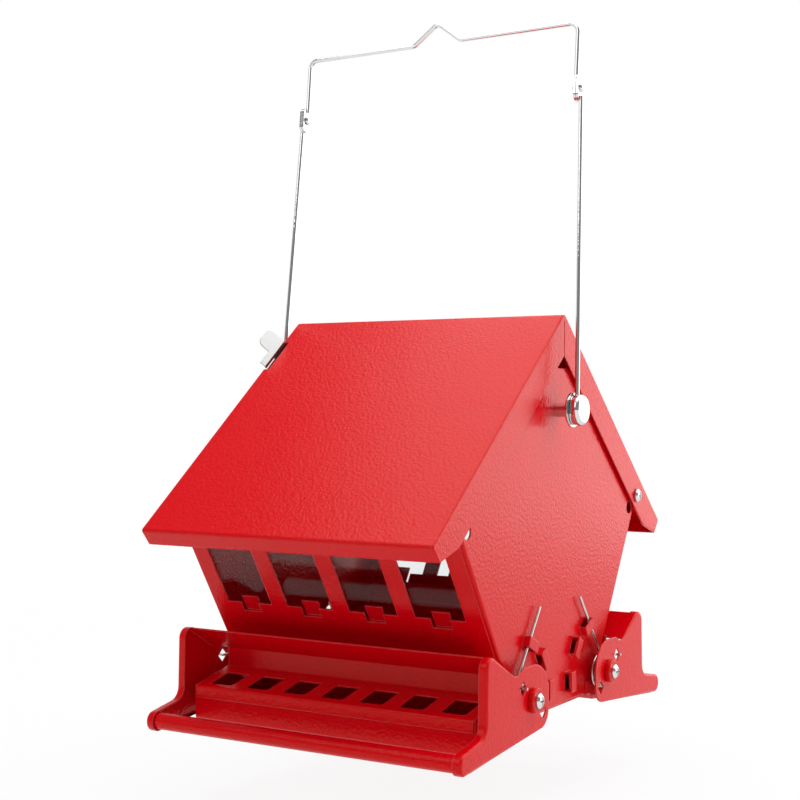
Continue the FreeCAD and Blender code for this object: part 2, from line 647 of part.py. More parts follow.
for name, level in (("cap_right", "panel_x"), ("cap_left", "-panel_x-sheet")):
    pad(pan, polygons(pan, name, "YZ_Plane", level, [cap_outline]), "sheet")
rounded(pan, "pan_outer_bend", [pan_path[3]], "bend_radius+sheet")
rounded(pan, "pan_inner_bend", [pan_inner[3]], "bend_radius")
mirrored(pan, "front_trough", ACROSS_Y)

# Hopper floor and the ridged baffle that sends seed to both troughs
formula_sheet("floor_places")
floor = body("hopper_floor")
derive("floor_half", "pan_lap_y-fit_gap")
derive("baffle_half", "pan_lap_y+pan_lap_width-baffle_inset")
settle()
pad(floor, polygons(floor, "floor_face", "XY_Plane", "pan_lap_z", [
    rectangle("-panel_x", "-floor_half", "panel_x", "floor_half")]), "sheet")
baffle = body("seed_baffle")
derive("baffle_foot", "baffle_half-sheet/sin(atan(baffle_rise/baffle_half))")
derive("baffle_top", "panel_bottom+baffle_rise")
derive("baffle_peak", "panel_bottom+baffle_rise-sheet/cos(atan(baffle_rise/baffle_half))")
settle()
pad(baffle, polygons(baffle, "baffle_section", "YZ_Plane", "fit_gap-panel_inner", [[
    ("baffle_half", "panel_bottom"), ("0", "baffle_top"), ("-baffle_half", "panel_bottom"),
    ("-baffle_foot", "panel_bottom"), ("0", "baffle_peak"), ("baffle_foot", "panel_bottom")]]),
    "2*(panel_inner-fit_gap)")

# Shield: half of the web and one boot-shaped end plate folded from it, then both halves as one sheet
formula_sheet("shield_places")
half = body("shield_half")
derive("web_slope", "atan((crest_z-web_low_z)/(crest_y-web_low_y))/(1 deg)")
settle()
derive("web_top_y", "web_low_y+web_width*cos(web_slope)")
derive("web_top_z", "web_low_z+web_width*sin(web_slope)")
derive("toe_fold_y", "toe_y-toe_fold_length")
derive("toe_fold_z", "heel_base_z*toe_fold_length/(toe_y-heel_y)")
settle()
boot = [("heel_y", "heel_base_z"), ("toe_y", "0"), ("toe_y", "toe_top_z"), ("shin_y", "ankle_z"),
        ("crest_y", "crest_z"), ("web_low_y", "web_low_z"), ("dip_y", "dip_z"),
        ("heel_top_end", "heel_top_z"), ("heel_y", "heel_top_z")]
pad(half, polygons(half, "boot_face", "YZ_Plane", "plate_inner", [boot]), "sheet")
rim_path = [("toe_fold_y", "toe_fold_z")] + boot[1:5] + [("web_top_y", "web_top_z")]
rim_outline, rim_inner = band("rim", rim_path, "sheet")
pad(half, polygons(half, "boot_rim", "YZ_Plane", "plate_x-plate_fold", [rim_outline]), "plate_fold")
web_outline = band("web", [("web_top_y", "web_top_z"), ("web_low_y", "web_low_z")], "sheet")[0]
pad(half, polygons(half, "web_section", "YZ_Plane", "0*sheet", [web_outline]), "plate_x")
rounded(half, "toe_round", [boot[1], boot[2]], "toe_radius")
rounded(half, "toe_round_inside", [rim_inner[1], rim_inner[2]], "toe_radius-sheet")
rounded(half, "ankle_round", [boot[3]], "ankle_radius")
rounded(half, "ankle_round_inside", [rim_inner[3]], "ankle_radius+sheet")
rounded(half, "crest_round", [boot[4]], "crest_radius")
rounded(half, "crest_round_inside", [rim_inner[4]], "crest_radius-sheet")
rounded(half, "heel_low_round", [boot[0]], "heel_low_radius")
rounded(half, "heel_high_round", [boot[8]], "heel_high_radius")
rounded(half, "dip_round", [boot[6], boot[7]], "toe_radius")
pocket(half, circles(half, "pivot_hole", "YZ_Plane", "plate_x+sheet", [
    ("pivot_y", "pivot_z")], "barrel_diameter+2*running_gap"), "through")
diamond_loops = []
for sign in ("1*", "-1*"):
    across = "pivot_y+%sspring_hole_radius*cos(spring_hole_angle)" % sign
    upward = "pivot_z+%sspring_hole_radius*sin(spring_hole_angle)" % sign
    reach = "spring_hole_side/sqrt(2)"
    diamond_loops.append([("%s-%s" % (across, reach), upward), (across, "%s-%s" % (upward, reach)),
                          ("%s+%s" % (across, reach), upward), (across, "%s+%s" % (upward, reach))])
pocket(half, polygons(half, "spring_holes", "YZ_Plane", "plate_x+sheet", diamond_loops), "through")
shield = joined(half, "rear_shield")
mirrored(shield, "front_shield", ACROSS_Y)

# Perch tube between the toes
perch = body("rear_perch")
pad(perch, circles(perch, "perch_outside", "YZ_Plane", "-plate_inner", [("perch_y", "perch_z")],
                   "perch_diameter"), "2*plate_inner")
pocket(perch, circles(perch, "perch_bore", "YZ_Plane", "plate_inner", [("perch_y", "perch_z")],
                      "perch_diameter-2*sheet"), "2*plate_inner")
mirrored(perch, "front_perch", ACROSS_Y)


def turned(name, profile, across, upward):
    """Body turned about an X line at a place in the YZ plane, from (x, radius) points."""
    owner = body(name)
    spun(owner, polygons(owner, name + "_profile", "XY_Plane", "0*sheet", [profile]), "H_Axis")
    tilted(owner, across, upward, "0*sheet")
    return owner


def screw(name, seat, tail, across, upward):
    """Pan-head screw with a cross recess, head seated at the given x."""
    head, shank = "screw_head/2", "screw_diameter/2"
    owner = turned(name, [
        (tail, "0"), (tail, shank), (seat, shank), (seat, head), (seat + "+screw_rim", head),
        (seat + "+screw_shoulder_height", "screw_shoulder/2"),
        (seat + "+screw_head_height", "screw_crown/2"), (seat + "+screw_head_height", "0")], across, upward)
    for part, wide, tall in (("slot", "recess_length", "recess_width"),
                             ("cross", "recess_width", "recess_length")):
        pocket(owner, polygons(owner, name + "_" + part, "YZ_Plane", "%s+screw_head_height+sheet" % seat, [
            rectangle("-%s/2" % wide, "-%s/2" % tall, "%s/2" % wide, "%s/2" % tall)]), "recess_depth+sheet")
    return owner


def nut(name, across, upward):
    """Hexagon nut on the inside of the side panel, one flat along the panel's fold."""
    owner = body(name)
    corners = []
    for step in range(6):
        angle = "(wall_lean+%d*360/6)" % step
        corners.append(("nut_flats/sqrt(3)*cos%s" % angle, "nut_flats/sqrt(3)*sin%s" % angle))
    pad(owner, polygons(owner, name + "_outline", "YZ_Plane", "panel_inner-nut_height", [corners]),
        "nut_height")
    pocket(owner, circles(owner, name + "_bore", "YZ_Plane", "panel_inner+sheet", [("0*sheet", "0*sheet")],
                          "screw_diameter+2*running_gap"), "nut_height+2*sheet")
    tilted(owner, across, upward, "0*sheet")
    return owner


# Shield pivots: flanged bushing, screw and nut at each corner
formula_sheet("pivot_places")
derive("bushing_seat", "plate_x+fit_gap")
derive("pivot_screw_seat", "plate_x+fit_gap+bushing_head_height")
derive("screw_end", "panel_inner-nut_height-screw_tail")
settle()
screw_bore = "screw_diameter/2+running_gap"
bushing = turned("bushing", [
    ("panel_x", screw_bore), ("panel_x", "barrel_diameter/2"), ("bushing_seat", "barrel_diameter/2"),
    ("bushing_seat", "bushing_head/2"), ("pivot_screw_seat-bushing_chamfer", "bushing_head/2"),
    ("pivot_screw_seat", "bushing_head/2-bushing_chamfer"), ("pivot_screw_seat", screw_bore)],
    "pivot_y", "pivot_z")
four_corners(bushing, "pivot_bushings")
four_corners(screw("pivot_screw", "pivot_screw_seat", "screw_end", "pivot_y", "pivot_z"), "pivot_screws")
four_corners(nut("pivot_nut", "pivot_y", "pivot_z"), "pivot_nuts")


def path_wire(points, corner_radius):
    """Wire of straight runs with rounded corners through the points."""
    pieces = []
    start = points[0]
    for before, here, after in zip(points, points[1:], points[2:]):
        back = (before - here).normalize()
        ahead = (after - here).normalize()
        turn = math.pi - back.getAngle(ahead)
        cut = corner_radius * math.tan(turn / 2)
        first, last = here + back * cut, here + ahead * cut
        bisector = (back + ahead).normalize()
        middle = here + bisector * (corner_radius / math.cos(turn / 2) - corner_radius)
        pieces.append(Part.makeLine(start, first))
        pieces.append(Part.Arc(first, middle, last).toShape())
        start = last
    pieces.append(Part.makeLine(start, points[-1]))
    return pieces


def single_arc(start, heading, end):
    """Arc from a start with a heading to an end."""
    chord = end - start
    along = vector(chord).normalize()
    side = heading - along * heading.dot(along)
    angle = heading.getAngle(along)
    middle = (start + end) * 0.5 + side.normalize() * (chord.Length / 2 * math.tan(angle / 2))
    return Part.Arc(start, middle, end).toShape()


def biarc(start, heading, end, arriving):
    """Two arcs that join two places with given headings."""
    chord = end - start
    total = heading + arriving
    square = 2 * (1 - heading.dot(arriving))
    reach = (math.sqrt(chord.dot(total) ** 2 + square * chord.dot(chord)) - chord.dot(total)) / square
    joint = (start + end + (heading - arriving) * reach) * 0.5
    first = single_arc(start, heading, joint)
    second_back = single_arc(end, arriving * -1, joint)
    middle = second_back.valueAt((second_back.FirstParameter + second_back.LastParameter) / 2)
    return [first, Part.Arc(joint, middle, end).toShape()]


def swept(pieces, wire_radius):
    """Round tube along joined pieces."""
    spine = Part.Wire(pieces)
    start = spine.OrderedVertexes[0].Point
    edge = spine.OrderedEdges[0]
    heading = edge.tangentAt(edge.FirstParameter)
    profile = Part.Wire([Part.Circle(start, heading, wire_radius).toShape()])
    shell = Part.BRepOffsetAPI.MakePipeShell(spine)
    shell.add(profile, False, False)
    shell.build()
    shell.makeSolid()
    return shell.shape()


def spring_pieces():
    """Torsion spring: leg under the upper bridge, turns round the bushing, tail in the end plate."""
    pivot = vector(0, value("pivot_y"), value("pivot_z"))
    radius, pitch = value("spring_radius"), value("spring_pitch")
    first_x = value("panel_x+spring_stand")
    corner_run, corner_side = value("tab_radius-tab_length/2"), value("tab_inside")
    tab_angle = math.radians(180 - value("tab_upper_angle"))
    corner_angle = tab_angle - math.atan2(corner_side, corner_run)
    clear = radius + value("spring_wire/2+fit_gap")
    leave = corner_angle - math.acos(clear / math.hypot(corner_run, corner_side))
    tail_angle = math.radians(value("spring_hole_angle"))
    tail_radius = value("spring_hole_radius")
    arrive = tail_angle + math.acos(radius / tail_radius)

    def on_coil(angle):
        share = (leave - angle) / (2 * math.pi)
        spot = vector(0, math.cos(angle), math.sin(angle)) * radius + pivot
        spot.x = first_x + pitch * share
        advance = 0 if angle == leave else pitch / (2 * math.pi)
        heading = vector(advance, math.sin(angle) * radius, -math.cos(angle) * radius)
        return spot, heading.normalize()

    sweep = value("spring_turns") * 2 * math.pi + (leave - arrive) % (2 * math.pi)
    quarters = int(math.ceil(sweep / (math.pi / 2)))
    start, heading = on_coil(leave)
    leg_length = math.sqrt(value("spring_leg") ** 2 - radius ** 2)
    pieces = [Part.makeLine(start - heading * leg_length, start)]
    for step in range(quarters):
        here, here_heading = on_coil(leave - sweep * step / quarters)
        there, there_heading = on_coil(leave - sweep * (step + 1) / quarters)
        pieces += biarc(here, here_heading, there, there_heading)
    finish_spot, finish_heading = on_coil(leave - sweep)
    run = math.sqrt(tail_radius ** 2 - radius ** 2)
    corner = finish_spot + finish_heading * run
    bend = value("spring_bend")
    outward = vector(value("plate_x+spring_tail"), corner.y, corner.z)
    pieces += path_wire([finish_spot, corner, outward], bend)
    return pieces


def least_gap(pieces, wire_diameter, skip):
    """Least distance between parts of one wire that aren't neighbours along it."""
    places = []
    for piece in pieces:
        places += piece.discretize(max(2, int(piece.Length / 0.4)))[:-1]
    lengths = [0.0]
    for before, after in zip(places, places[1:]):
        lengths.append(lengths[-1] + (after - before).Length)
    least = 1e9
    for index in range(0, len(places), 2):
        for other in range(index + 1, len(places), 2):
            if lengths[other] - lengths[index] > skip:
                least = min(least, (places[other] - places[index]).Length)
    return least - wire_diameter


spring_path = spring_pieces()
spring_gap = least_gap(spring_path, value("spring_wire"), value("4*spring_wire"))
print("spring least gap to itself %.2f mm" % spring_gap)
spring = document.addObject("Part::Feature", "spring")
spring.Shape = swept(spring_path, value("spring_wire") / 2)
rear_springs = both_ends(spring, "rear_springs")
mirrored(rear_springs, "front_springs", ACROSS_Y)


# Roof: half of the folded sheet with its gable fold, then both halves, then the catch slot
formula_sheet("roof_places")
half_roof = body("roof_half")
eave_drop = "ridge_z-roof_rise"
rear_eave = roof_place("rear", "ridge_y+roof_depth", eave_drop)
front_eave = roof_place("front", "ridge_y-roof_depth", eave_drop)
drip_run, drip_fall = "roof_drip*sin(roof_pitch)", "roof_drip*cos(roof_pitch)"
rear_drip = roof_place("rear_drip", "ridge_y+roof_depth-" + drip_run, eave_drop + "-" + drip_fall)
front_drip = roof_place("front_drip", "ridge_y-roof_depth+" + drip_run, eave_drop + "-" + drip_fall)
kink_drop = "ridge_z-roof_kink*tan(roof_pitch)-roof_fold/cos(roof_pitch)"
rear_kink = roof_place("rear_kink", "ridge_y+roof_kink", kink_drop)
front_kink = roof_place("front_kink", "ridge_y-roof_kink", kink_drop)
mitre = roof_place("mitre", "ridge_y", "ridge_z-roof_fold/cos(roof_pitch)")
settle()
roof_path = [rear_drip, rear_eave, ridge, front_eave, front_drip]
roof_outline, roof_inner = band("roof", roof_path, "sheet")
pad(half_roof, polygons(half_roof, "roof_section", "YZ_Plane", "0*sheet", [roof_outline]), "roof_half")
pad(half_roof, polygons(half_roof, "gable_fold", "YZ_Plane", "roof_half-sheet", [
    [rear_kink, rear_drip, rear_eave, ridge, front_eave, front_drip, front_kink, mitre]]), "sheet")
rounded(half_roof, "ridge_round", [ridge], "ridge_radius")
rounded(half_roof, "ridge_round_inside", [roof_inner[2]], "ridge_radius-sheet")
rounded(half_roof, "eave_round", [rear_eave, front_eave], "bend_radius+sheet")
rounded(half_roof, "eave_round_inside", [roof_inner[1], roof_inner[3]], "bend_radius")
gable_edges = []
roof_end = value("roof_half")
outer_corners = [vector(roof_end, value(across), value(upward)) for across, upward in roof_path]
outer_line = Part.makePolygon(outer_corners)
for index, edge in enumerate(half_roof.Shape.Edges, 1):
    box = edge.BoundBox
    flat = abs(box.XMin - roof_end) + abs(box.XMax - roof_end) < value("tolerance")
    middle = edge.valueAt((edge.FirstParameter + edge.LastParameter) / 2)
    if flat and outer_line.distToShape(Part.Vertex(middle))[0] < value("ridge_radius") / 2:
        gable_edges.append("Edge%d" % index)
rounded_edges(half_roof, "gable_fold_round", gable_edges, "gable_round")
pocket(half_roof, circles(half_roof, "roof_hinge_hole", "YZ_Plane", "roof_half+sheet",
                          [("hinge_y", "hinge_z")], "hinge_shoulder+2*running_gap"), "through")
slit = [roof_place("slit_" + part, "ridge_y%smitre_slit/2" % side, level) for part, side, level in (
    ("a", "-", "ridge_z-2*roof_fold"), ("b", "+", "ridge_z-2*roof_fold"),
    ("c", "+", "ridge_z-mitre_top"), ("d", "-", "ridge_z-mitre_top"))]
settle()
pocket(half_roof, polygons(half_roof, "mitre_cut", "YZ_Plane", "roof_half+sheet", [slit]),
       "2*sheet+fit_gap")
whole_roof = joined(half_roof, "roof_without_slot")


def on_front_slope(along, above):
    """Place on the front slope, along it from the ridge and square above it."""
    return ("roof_across_ridge-(%s)*cos(front_slope)-(%s)*sin(front_slope)" % (along, above),
            "roof_upward_ridge-(%s)*sin(front_slope)+(%s)*cos(front_slope)" % (along, above))


slot = body("catch_slot")
slot_end = "catch_slot_start+catch_slot_length"
slot_corners = [
    on_front_slope("catch_slot_start", "-catch_slot_drop"), on_front_slope(slot_end, "-catch_slot_drop"),
    on_front_slope(slot_end, "through"), on_front_slope("catch_slot_start", "through")]
pad(slot, polygons(slot, "catch_slot_outline", "YZ_Plane", "-roof_half-sheet", [slot_corners]),
    "catch_slot_depth+sheet")
roof = document.addObject("Part::Cut", "roof")
roof.Base = whole_roof
roof.Tool = slot
document.recompute()

# Roof hinge: spacer on the side panel, screw and nut at each rear corner
formula_sheet("hinge_places")
derive("hinge_seat", "roof_half+fit_gap")
settle()
spacer = turned("hinge_spacer_piece", [
    ("panel_x", screw_bore), ("panel_x", "hinge_spacer/2"),
    ("roof_half-sheet-fit_gap", "hinge_spacer/2"), ("roof_half-sheet-fit_gap", "hinge_shoulder/2"),
    ("hinge_seat", "hinge_shoulder/2"), ("hinge_seat", screw_bore)], "hinge_y", "hinge_z")
both_ends(spacer, "hinge_spacers")
both_ends(screw("hinge_screw", "hinge_seat", "screw_end", "hinge_y", "hinge_z"), "hinge_screws")
both_ends(nut("hinge_nut", "hinge_y", "hinge_z"), "hinge_nuts")

# Roof catch: bracket under the roof's left end, pin and sprung lever, drawn square to the front slope
formula_sheet("catch_places")
catch_angle = "90+front_slope"
catch_home = ("roof_across_ridge", "roof_upward_ridge")
derive("catch_face", "catch_pin_x+catch_eye/2")
derive("catch_out", "roof_half-sheet-fit_gap")
derive("bracket_x", "catch_pin_x-bracket_back")
derive("ear_start", "catch_start-fit_gap-sheet")
derive("ear_end", "catch_end+fit_gap")
derive("ear_low", "-catch_pin_drop-ear_margin")
derive("ear_high", "-catch_pin_drop+ear_margin")
settle()
lever = body("roof_catch")
lever_path = [("-catch_reach", "catch_rise"), ("-catch_out", "catch_neck"), ("-catch_out", "-catch_jog_high"),
              ("-catch_face", "-catch_jog_low"), ("-catch_face", "-catch_pin_drop")]
lever_outline = band("lever", lever_path, "catch_sheet")[0]
pad(lever, polygons(lever, "lever_section", "XY_Plane", "catch_start", [lever_outline]), "catch_width")
tip_corners = []
for index, edge in enumerate(lever.Shape.Edges, 1):
    box = edge.BoundBox
    if box.ZLength < value("tolerance") and box.YMin > value("catch_rise-2*catch_sheet"):
        tip_corners.append("Edge%d" % index)
rounded_edges(lever, "lever_tip_round", tip_corners, "catch_round")
lip_path = [("-catch_out-catch_lip_reach", "catch_lip_rise"), ("-catch_out", "catch_neck"),
            ("-catch_out", "0")]
lip_outline = band("lip", lip_path, "catch_sheet")[0]
pad(lever, polygons(lever, "lip_section", "XY_Plane", "catch_end", [lip_outline]), "catch_lip_width")
pin_place = [("-catch_pin_x", "-catch_pin_drop")]
pad(lever, circles(lever, "lever_eye", "XY_Plane", "catch_start", pin_place, "catch_eye"), "catch_width")
pocket(lever, circles(lever, "lever_bore", "XY_Plane", "catch_end+sheet", pin_place,
                      "catch_pin_diameter+2*running_gap"), "catch_width+2*sheet")
tilted(lever, catch_home[0], catch_home[1], catch_angle)
bracket = body("catch_bracket")
bracket_path = [("bracket_foot-bracket_x", "-sheet"), ("-bracket_x", "-sheet"), ("-bracket_x", "ear_low")]
bracket_outline = band("bracket", bracket_path, "sheet")[0]
pad(bracket, polygons(bracket, "bracket_section", "XY_Plane", "ear_start", [bracket_outline]),
    "ear_end-ear_start+sheet")
for name, level in (("ear_near", "ear_start"), ("ear_far", "ear_end")):
    pad(bracket, polygons(bracket, name, "XY_Plane", level, [
        rectangle("-catch_face", "ear_low", "sheet-bracket_x", "ear_high")]), "sheet")
pocket(bracket, circles(bracket, "ear_holes", "XY_Plane", "ear_end+2*sheet", pin_place,
                        "catch_pin_diameter"), "ear_end-ear_start+4*sheet")
tilted(bracket, catch_home[0], catch_home[1], catch_angle)
pin = body("catch_pin")
pad(pin, circles(pin, "pin_section", "XY_Plane", "ear_start-sheet", pin_place, "catch_pin_diameter"),
    "ear_end-ear_start+3*sheet")
tilted(pin, catch_home[0], catch_home[1], catch_angle)

# Hanger studs and washers on the side panels
formula_sheet("stud_places")
derive("stud_seat", "panel_x+stud_reach")
derive("spoon_inner", "panel_x+stud_reach+washer_height+fit_gap")
settle()
derive("spoon_outer", "spoon_inner+wire_diameter+2*fit_gap")
settle()
derive("stud_top", "spoon_outer+fit_gap")
settle()
derive("stud_end", "stud_top+stud_cap_height")
settle()
stud = turned("hanger_stud", [
    ("panel_inner-stud_head_height", "0"), ("panel_inner-stud_head_height", "stud_head/2"),
    ("panel_inner", "stud_head/2"), ("panel_inner", "stud_diameter/2"), ("panel_x", "stud_diameter/2"),
    ("panel_x", "stud_sleeve/2"), ("stud_seat", "stud_sleeve/2"), ("stud_seat", "stud_diameter/2"),
    ("stud_top", "stud_diameter/2"), ("stud_top", "stud_cap/2"), ("stud_end", "stud_cap/2"),
    ("stud_end", "0")], "0*sheet", "hanger_z")
cap_rim = []
for index, edge in enumerate(stud.Shape.Edges, 1):
    box = edge.BoundBox
    at_end = abs(box.XMin - value("stud_end")) + abs(box.XMax - value("stud_end")) < value("tolerance")
    if at_end and box.YLength > value("stud_cap/2"):
        cap_rim.append("Edge%d" % index)
rounded_edges(stud, "stud_cap_dome", cap_rim, "stud_cap_round")
both_ends(stud, "hanger_studs")
washer_bore = "stud_diameter/2+running_gap"
washer = turned("hanger_washer", [
    ("stud_seat", washer_bore), ("stud_seat", "washer_diameter/2"),
    ("stud_seat+washer_height", "washer_diameter/2"), ("stud_seat+washer_height", washer_bore)],
    "0*sheet", "hanger_z")
both_ends(washer, "hanger_washers")

# Hanger wire with flattened ends, drawn upright and leaned back
formula_sheet("hanger_places")
derive("arm_low_x", "spoon_inner+wire_diameter/2+fit_gap")
derive("arm_inner", "arm_top_x-flat_thickness/2")
derive("bail_outer", "arm_top_x-flat_thickness/2-fit_gap")
settle()
derive("bail_inner", "bail_outer-flat_thickness")
derive("arm_high_x", "arm_inner+wire_diameter/2+fit_gap")
derive("bail_wire_x", "bail_outer-wire_diameter/2-fit_gap")
settle()
arm = body("hanger_arm_right")
spoon = rectangle("-spoon_width/2", "-spoon_height/2", "spoon_width/2", "spoon_height/2")
pad(arm, polygons(arm, "spoon_face", "YZ_Plane", "spoon_inner", [spoon]), "spoon_outer-spoon_inner")
rounded(arm, "spoon_round", spoon, "spoon_width/2-fit_gap")
paddle_low, paddle_high = "rivet_rise-paddle_height/2", "rivet_rise+paddle_height/2"
paddle = rectangle("-paddle_width/2", paddle_low, "paddle_width/2", paddle_high)
pad(arm, polygons(arm, "paddle_face", "YZ_Plane", "arm_inner", [paddle]), "flat_thickness")
rounded(arm, "paddle_round", paddle, "paddle_width/2-fit_gap")
low_ring = circles(arm, "arm_low", "XY_Plane", "spoon_height/2-wire_diameter",
                   [("arm_low_x", "0")], "wire_diameter")
high_ring = circles(arm, "arm_high", "XY_Plane", paddle_low + "+wire_diameter",
                    [("arm_high_x", "0")], "wire_diameter")
loft = arm.newObject("PartDesign::AdditiveLoft", "arm_wire")
loft.Profile = low_ring
loft.Sections = [high_ring]
finish(arm, loft)
pocket(arm, circles(arm, "spoon_hole", "YZ_Plane", "spoon_outer+sheet", [("0", "0")],
                    "stud_diameter+2*running_gap"), "spoon_outer-spoon_inner+2*sheet")
pocket(arm, circles(arm, "paddle_hole", "YZ_Plane", "arm_top_x+flat_thickness", [("0", "rivet_rise")],
                    "rivet_diameter+2*running_gap"), "2*flat_thickness")
tilted(arm, "0*sheet", "hanger_z", "-hanger_lean")
mirrored(arm, "hanger_arm_left", ACROSS_X)

# Rivets that carry the bail
formula_sheet("rivet_places")
derive("rivet_across", "rivet_rise*sin(hanger_lean)")
derive("rivet_upward", "hanger_z+rivet_rise*cos(hanger_lean)")
derive("rivet_low", "bail_inner-fit_gap")
derive("rivet_high", "arm_top_x+flat_thickness/2")
settle()
rivet = turned("hanger_rivet_right", [
    ("rivet_low-rivet_head_height", "0"), ("rivet_low-rivet_head_height", "rivet_crown/2"),
    ("rivet_low-rivet_rim", "rivet_head/2"), ("rivet_low", "rivet_head/2"),
    ("rivet_low", "rivet_diameter/2"), ("rivet_high", "rivet_diameter/2"), ("rivet_high", "rivet_head/2"),
    ("rivet_high+rivet_rim", "rivet_head/2"), ("rivet_high+rivet_head_height", "rivet_crown/2"),
    ("rivet_high+rivet_head_height", "0")], "rivet_across", "rivet_upward")
mirrored(rivet, "hanger_rivet_left", ACROSS_X)

# Bail: bent wire with a hanging peak and flattened ends
formula_sheet("bail_places")
corner_z = "rivet_rise+bail_rise"
bail_end = paddle_high + "-wire_diameter"
bail_points = [("-bail_wire_x", bail_end), ("-bail_wire_x", corner_z), ("-peak_half", corner_z),
               ("0", corner_z + "+peak_rise"), ("peak_half", corner_z), ("bail_wire_x", corner_z),
               ("bail_wire_x", bail_end)]
bail_radii = ["bail_corner", "peak_radius", "peak_radius", "peak_radius", "bail_corner"]


def bent_path(owner, name, points, radii):
    """Path sketch on the XZ plane whose straight runs join by arcs of the given radii."""
    letters = string.ascii_lowercase
    stops = [points[0]]
    for index, radius in enumerate(radii, 1):
        legs = []
        for other in (index - 1, index + 1):
            run = "((%s)-(%s))" % (points[other][0], points[index][0])
            rise = "((%s)-(%s))" % (points[other][1], points[index][1])
            label = "%s_%s_%s" % (name, letters[index], letters[other])
            length = derive(label + "_span", "sqrt(%s^2+%s^2)" % (run, rise))
            legs.append((derive(label + "_run", "%s/%s" % (run, length)),
                         derive(label + "_rise", "%s/%s" % (rise, length))))
        (back_run, back_rise), (ahead_run, ahead_rise) = legs
        cosine = "(%s*%s+%s*%s)" % (back_run, ahead_run, back_rise, ahead_rise)
        reach = "%s*sqrt((1+%s)/(1-%s))" % (radius, cosine, cosine)
        cut = derive("%s_%s_cut" % (name, letters[index]), reach)
        for run, rise in legs:
            stops.append(("(%s)+%s*%s" % (points[index][0], cut, run),
                          "(%s)+%s*%s" % (points[index][1], cut, rise)))
    stops.append(points[-1])
    settle()
    sketch = attached(owner, name, "XZ_Plane", "0*sheet")
    spots = [vector(value(across), value(upward), 0) for across, upward in stops]
    for index in range(0, len(spots) - 1, 2):
        line = sketch.addGeometry(Part.LineSegment(spots[index], spots[index + 1]), False)
        pin_point(sketch, line, 1, stops[index])
        pin_point(sketch, line, 2, stops[index + 1])
    lines = len(spots) // 2
    for index, radius in enumerate(radii):
        first, last = spots[2 * index + 1], spots[2 * index + 2]
        corner = vector(value(points[index + 1][0]), value(points[index + 1][1]), 0)
        inward = ((first - corner).normalize() + (last - corner).normalize()).normalize()
        half_turn = (first - corner).getAngle(inward)
        reach = value(radius) / math.sin(half_turn)
        middle = corner + inward * (reach - value(radius))
        arc = sketch.addGeometry(Part.Arc(first, middle, last), False)
        start_end = 1 if (sketch.getPoint(arc, 1) - first).Length < value("tolerance") else 2
        sketch.addConstraint(Sketcher.Constraint("Coincident", index, 2, arc, start_end))
        sketch.addConstraint(Sketcher.Constraint("Coincident", index + 1, 1, arc, 3 - start_end))
        place = sketch.addConstraint(Sketcher.Constraint("Radius", arc, value(radius)))
        sketch.setExpression("Constraints[%d]" % place, bound(radius))
    return sketch


bail = body("hanger_bail")
for name, level in (("bail_flat_right", "bail_inner"), ("bail_flat_left", "-bail_outer")):
    pad(bail, polygons(bail, name, "YZ_Plane", level, [paddle]), "flat_thickness")
rounded(bail, "bail_flat_round", paddle, "paddle_width/2-fit_gap")
bail_path = bent_path(bail, "bail_path", bail_points, bail_radii)
bail_ring = circles(bail, "bail_ring", "XY_Plane", bail_end, [("-bail_wire_x", "0")], "wire_diameter")
pipe = bail.newObject("PartDesign::AdditivePipe", "bail_wire")
pipe.Profile = bail_ring
pipe.Spine = bail_path
finish(bail, pipe)
pocket(bail, circles(bail, "bail_holes", "YZ_Plane", "bail_outer+sheet", [("0", "rivet_rise")],
                     "rivet_diameter+2*running_gap"), "2*bail_outer+2*sheet")
tilted(bail, "0*sheet", "hanger_z", "-hanger_lean")

NODES = (
    "side_panel_right", "side_panel_left", "front_wall", "rear_wall", "front_pane", "rear_pane",
    "front_feed_plate", "rear_feed_plate", "front_trough", "rear_trough", "hopper_floor", "seed_baffle",
    "front_shield", "rear_shield", "front_perch", "rear_perch", "front_springs", "rear_springs",
    "pivot_bushings", "pivot_screws", "pivot_nuts", "roof", "hinge_spacers", "hinge_screws", "hinge_nuts",
    "roof_catch", "catch_bracket", "catch_pin", "hanger_studs", "hanger_washers",
    "hanger_arm_left", "hanger_arm_right", "hanger_rivet_left", "hanger_rivet_right", "hanger_bail",
)

# Check every object, then write each piece with the origin under the middle of the whole feeder
document.recompute()
for item in document.Objects:
    if "Invalid" in item.State or "Error" in item.State:
        raise RuntimeError("%s is not sound: %s" % (item.Name, item.State))
pieces = {name: document.getObject(name).Shape.copy() for name in NODES}
for name, shape in pieces.items():
    if shape.isNull() or not shape.isValid() or not shape.Solids:
        raise RuntimeError(name + " is not a sound solid")
box = Part.makeCompound(list(pieces.values())).optimalBoundingBox(False)
shift = vector(0, -(box.YMin + box.YMax) / 2, -box.ZMin)
os.makedirs("parts", exist_ok=True)
for name, shape in pieces.items():
    shape.translate(shift)
    shape.exportStep("parts/%s.step" % name)
    print("%-20s solids %d volume %9.1f" % (name, len(shape.Solids), shape.Volume))
print("overall %.2f x %.2f x %.2f" % (box.XLength, box.YLength, box.ZLength))
print("shift %.4f %.4f" % (shift.y, shift.z))
for label, across, upward in (
        ("shield pivot", "pivot_y", "pivot_z"), ("roof hinge", "hinge_y", "hinge_z"),
        ("hanger pin", "0*sheet", "hanger_z"), ("bail rivet", "rivet_across", "rivet_upward"),
        ("ridge", "roof_across_ridge", "roof_upward_ridge")):
    print("%s y %.4f z %.4f" % (label, value(across) + shift.y, value(upward) + shift.z))
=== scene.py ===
import math

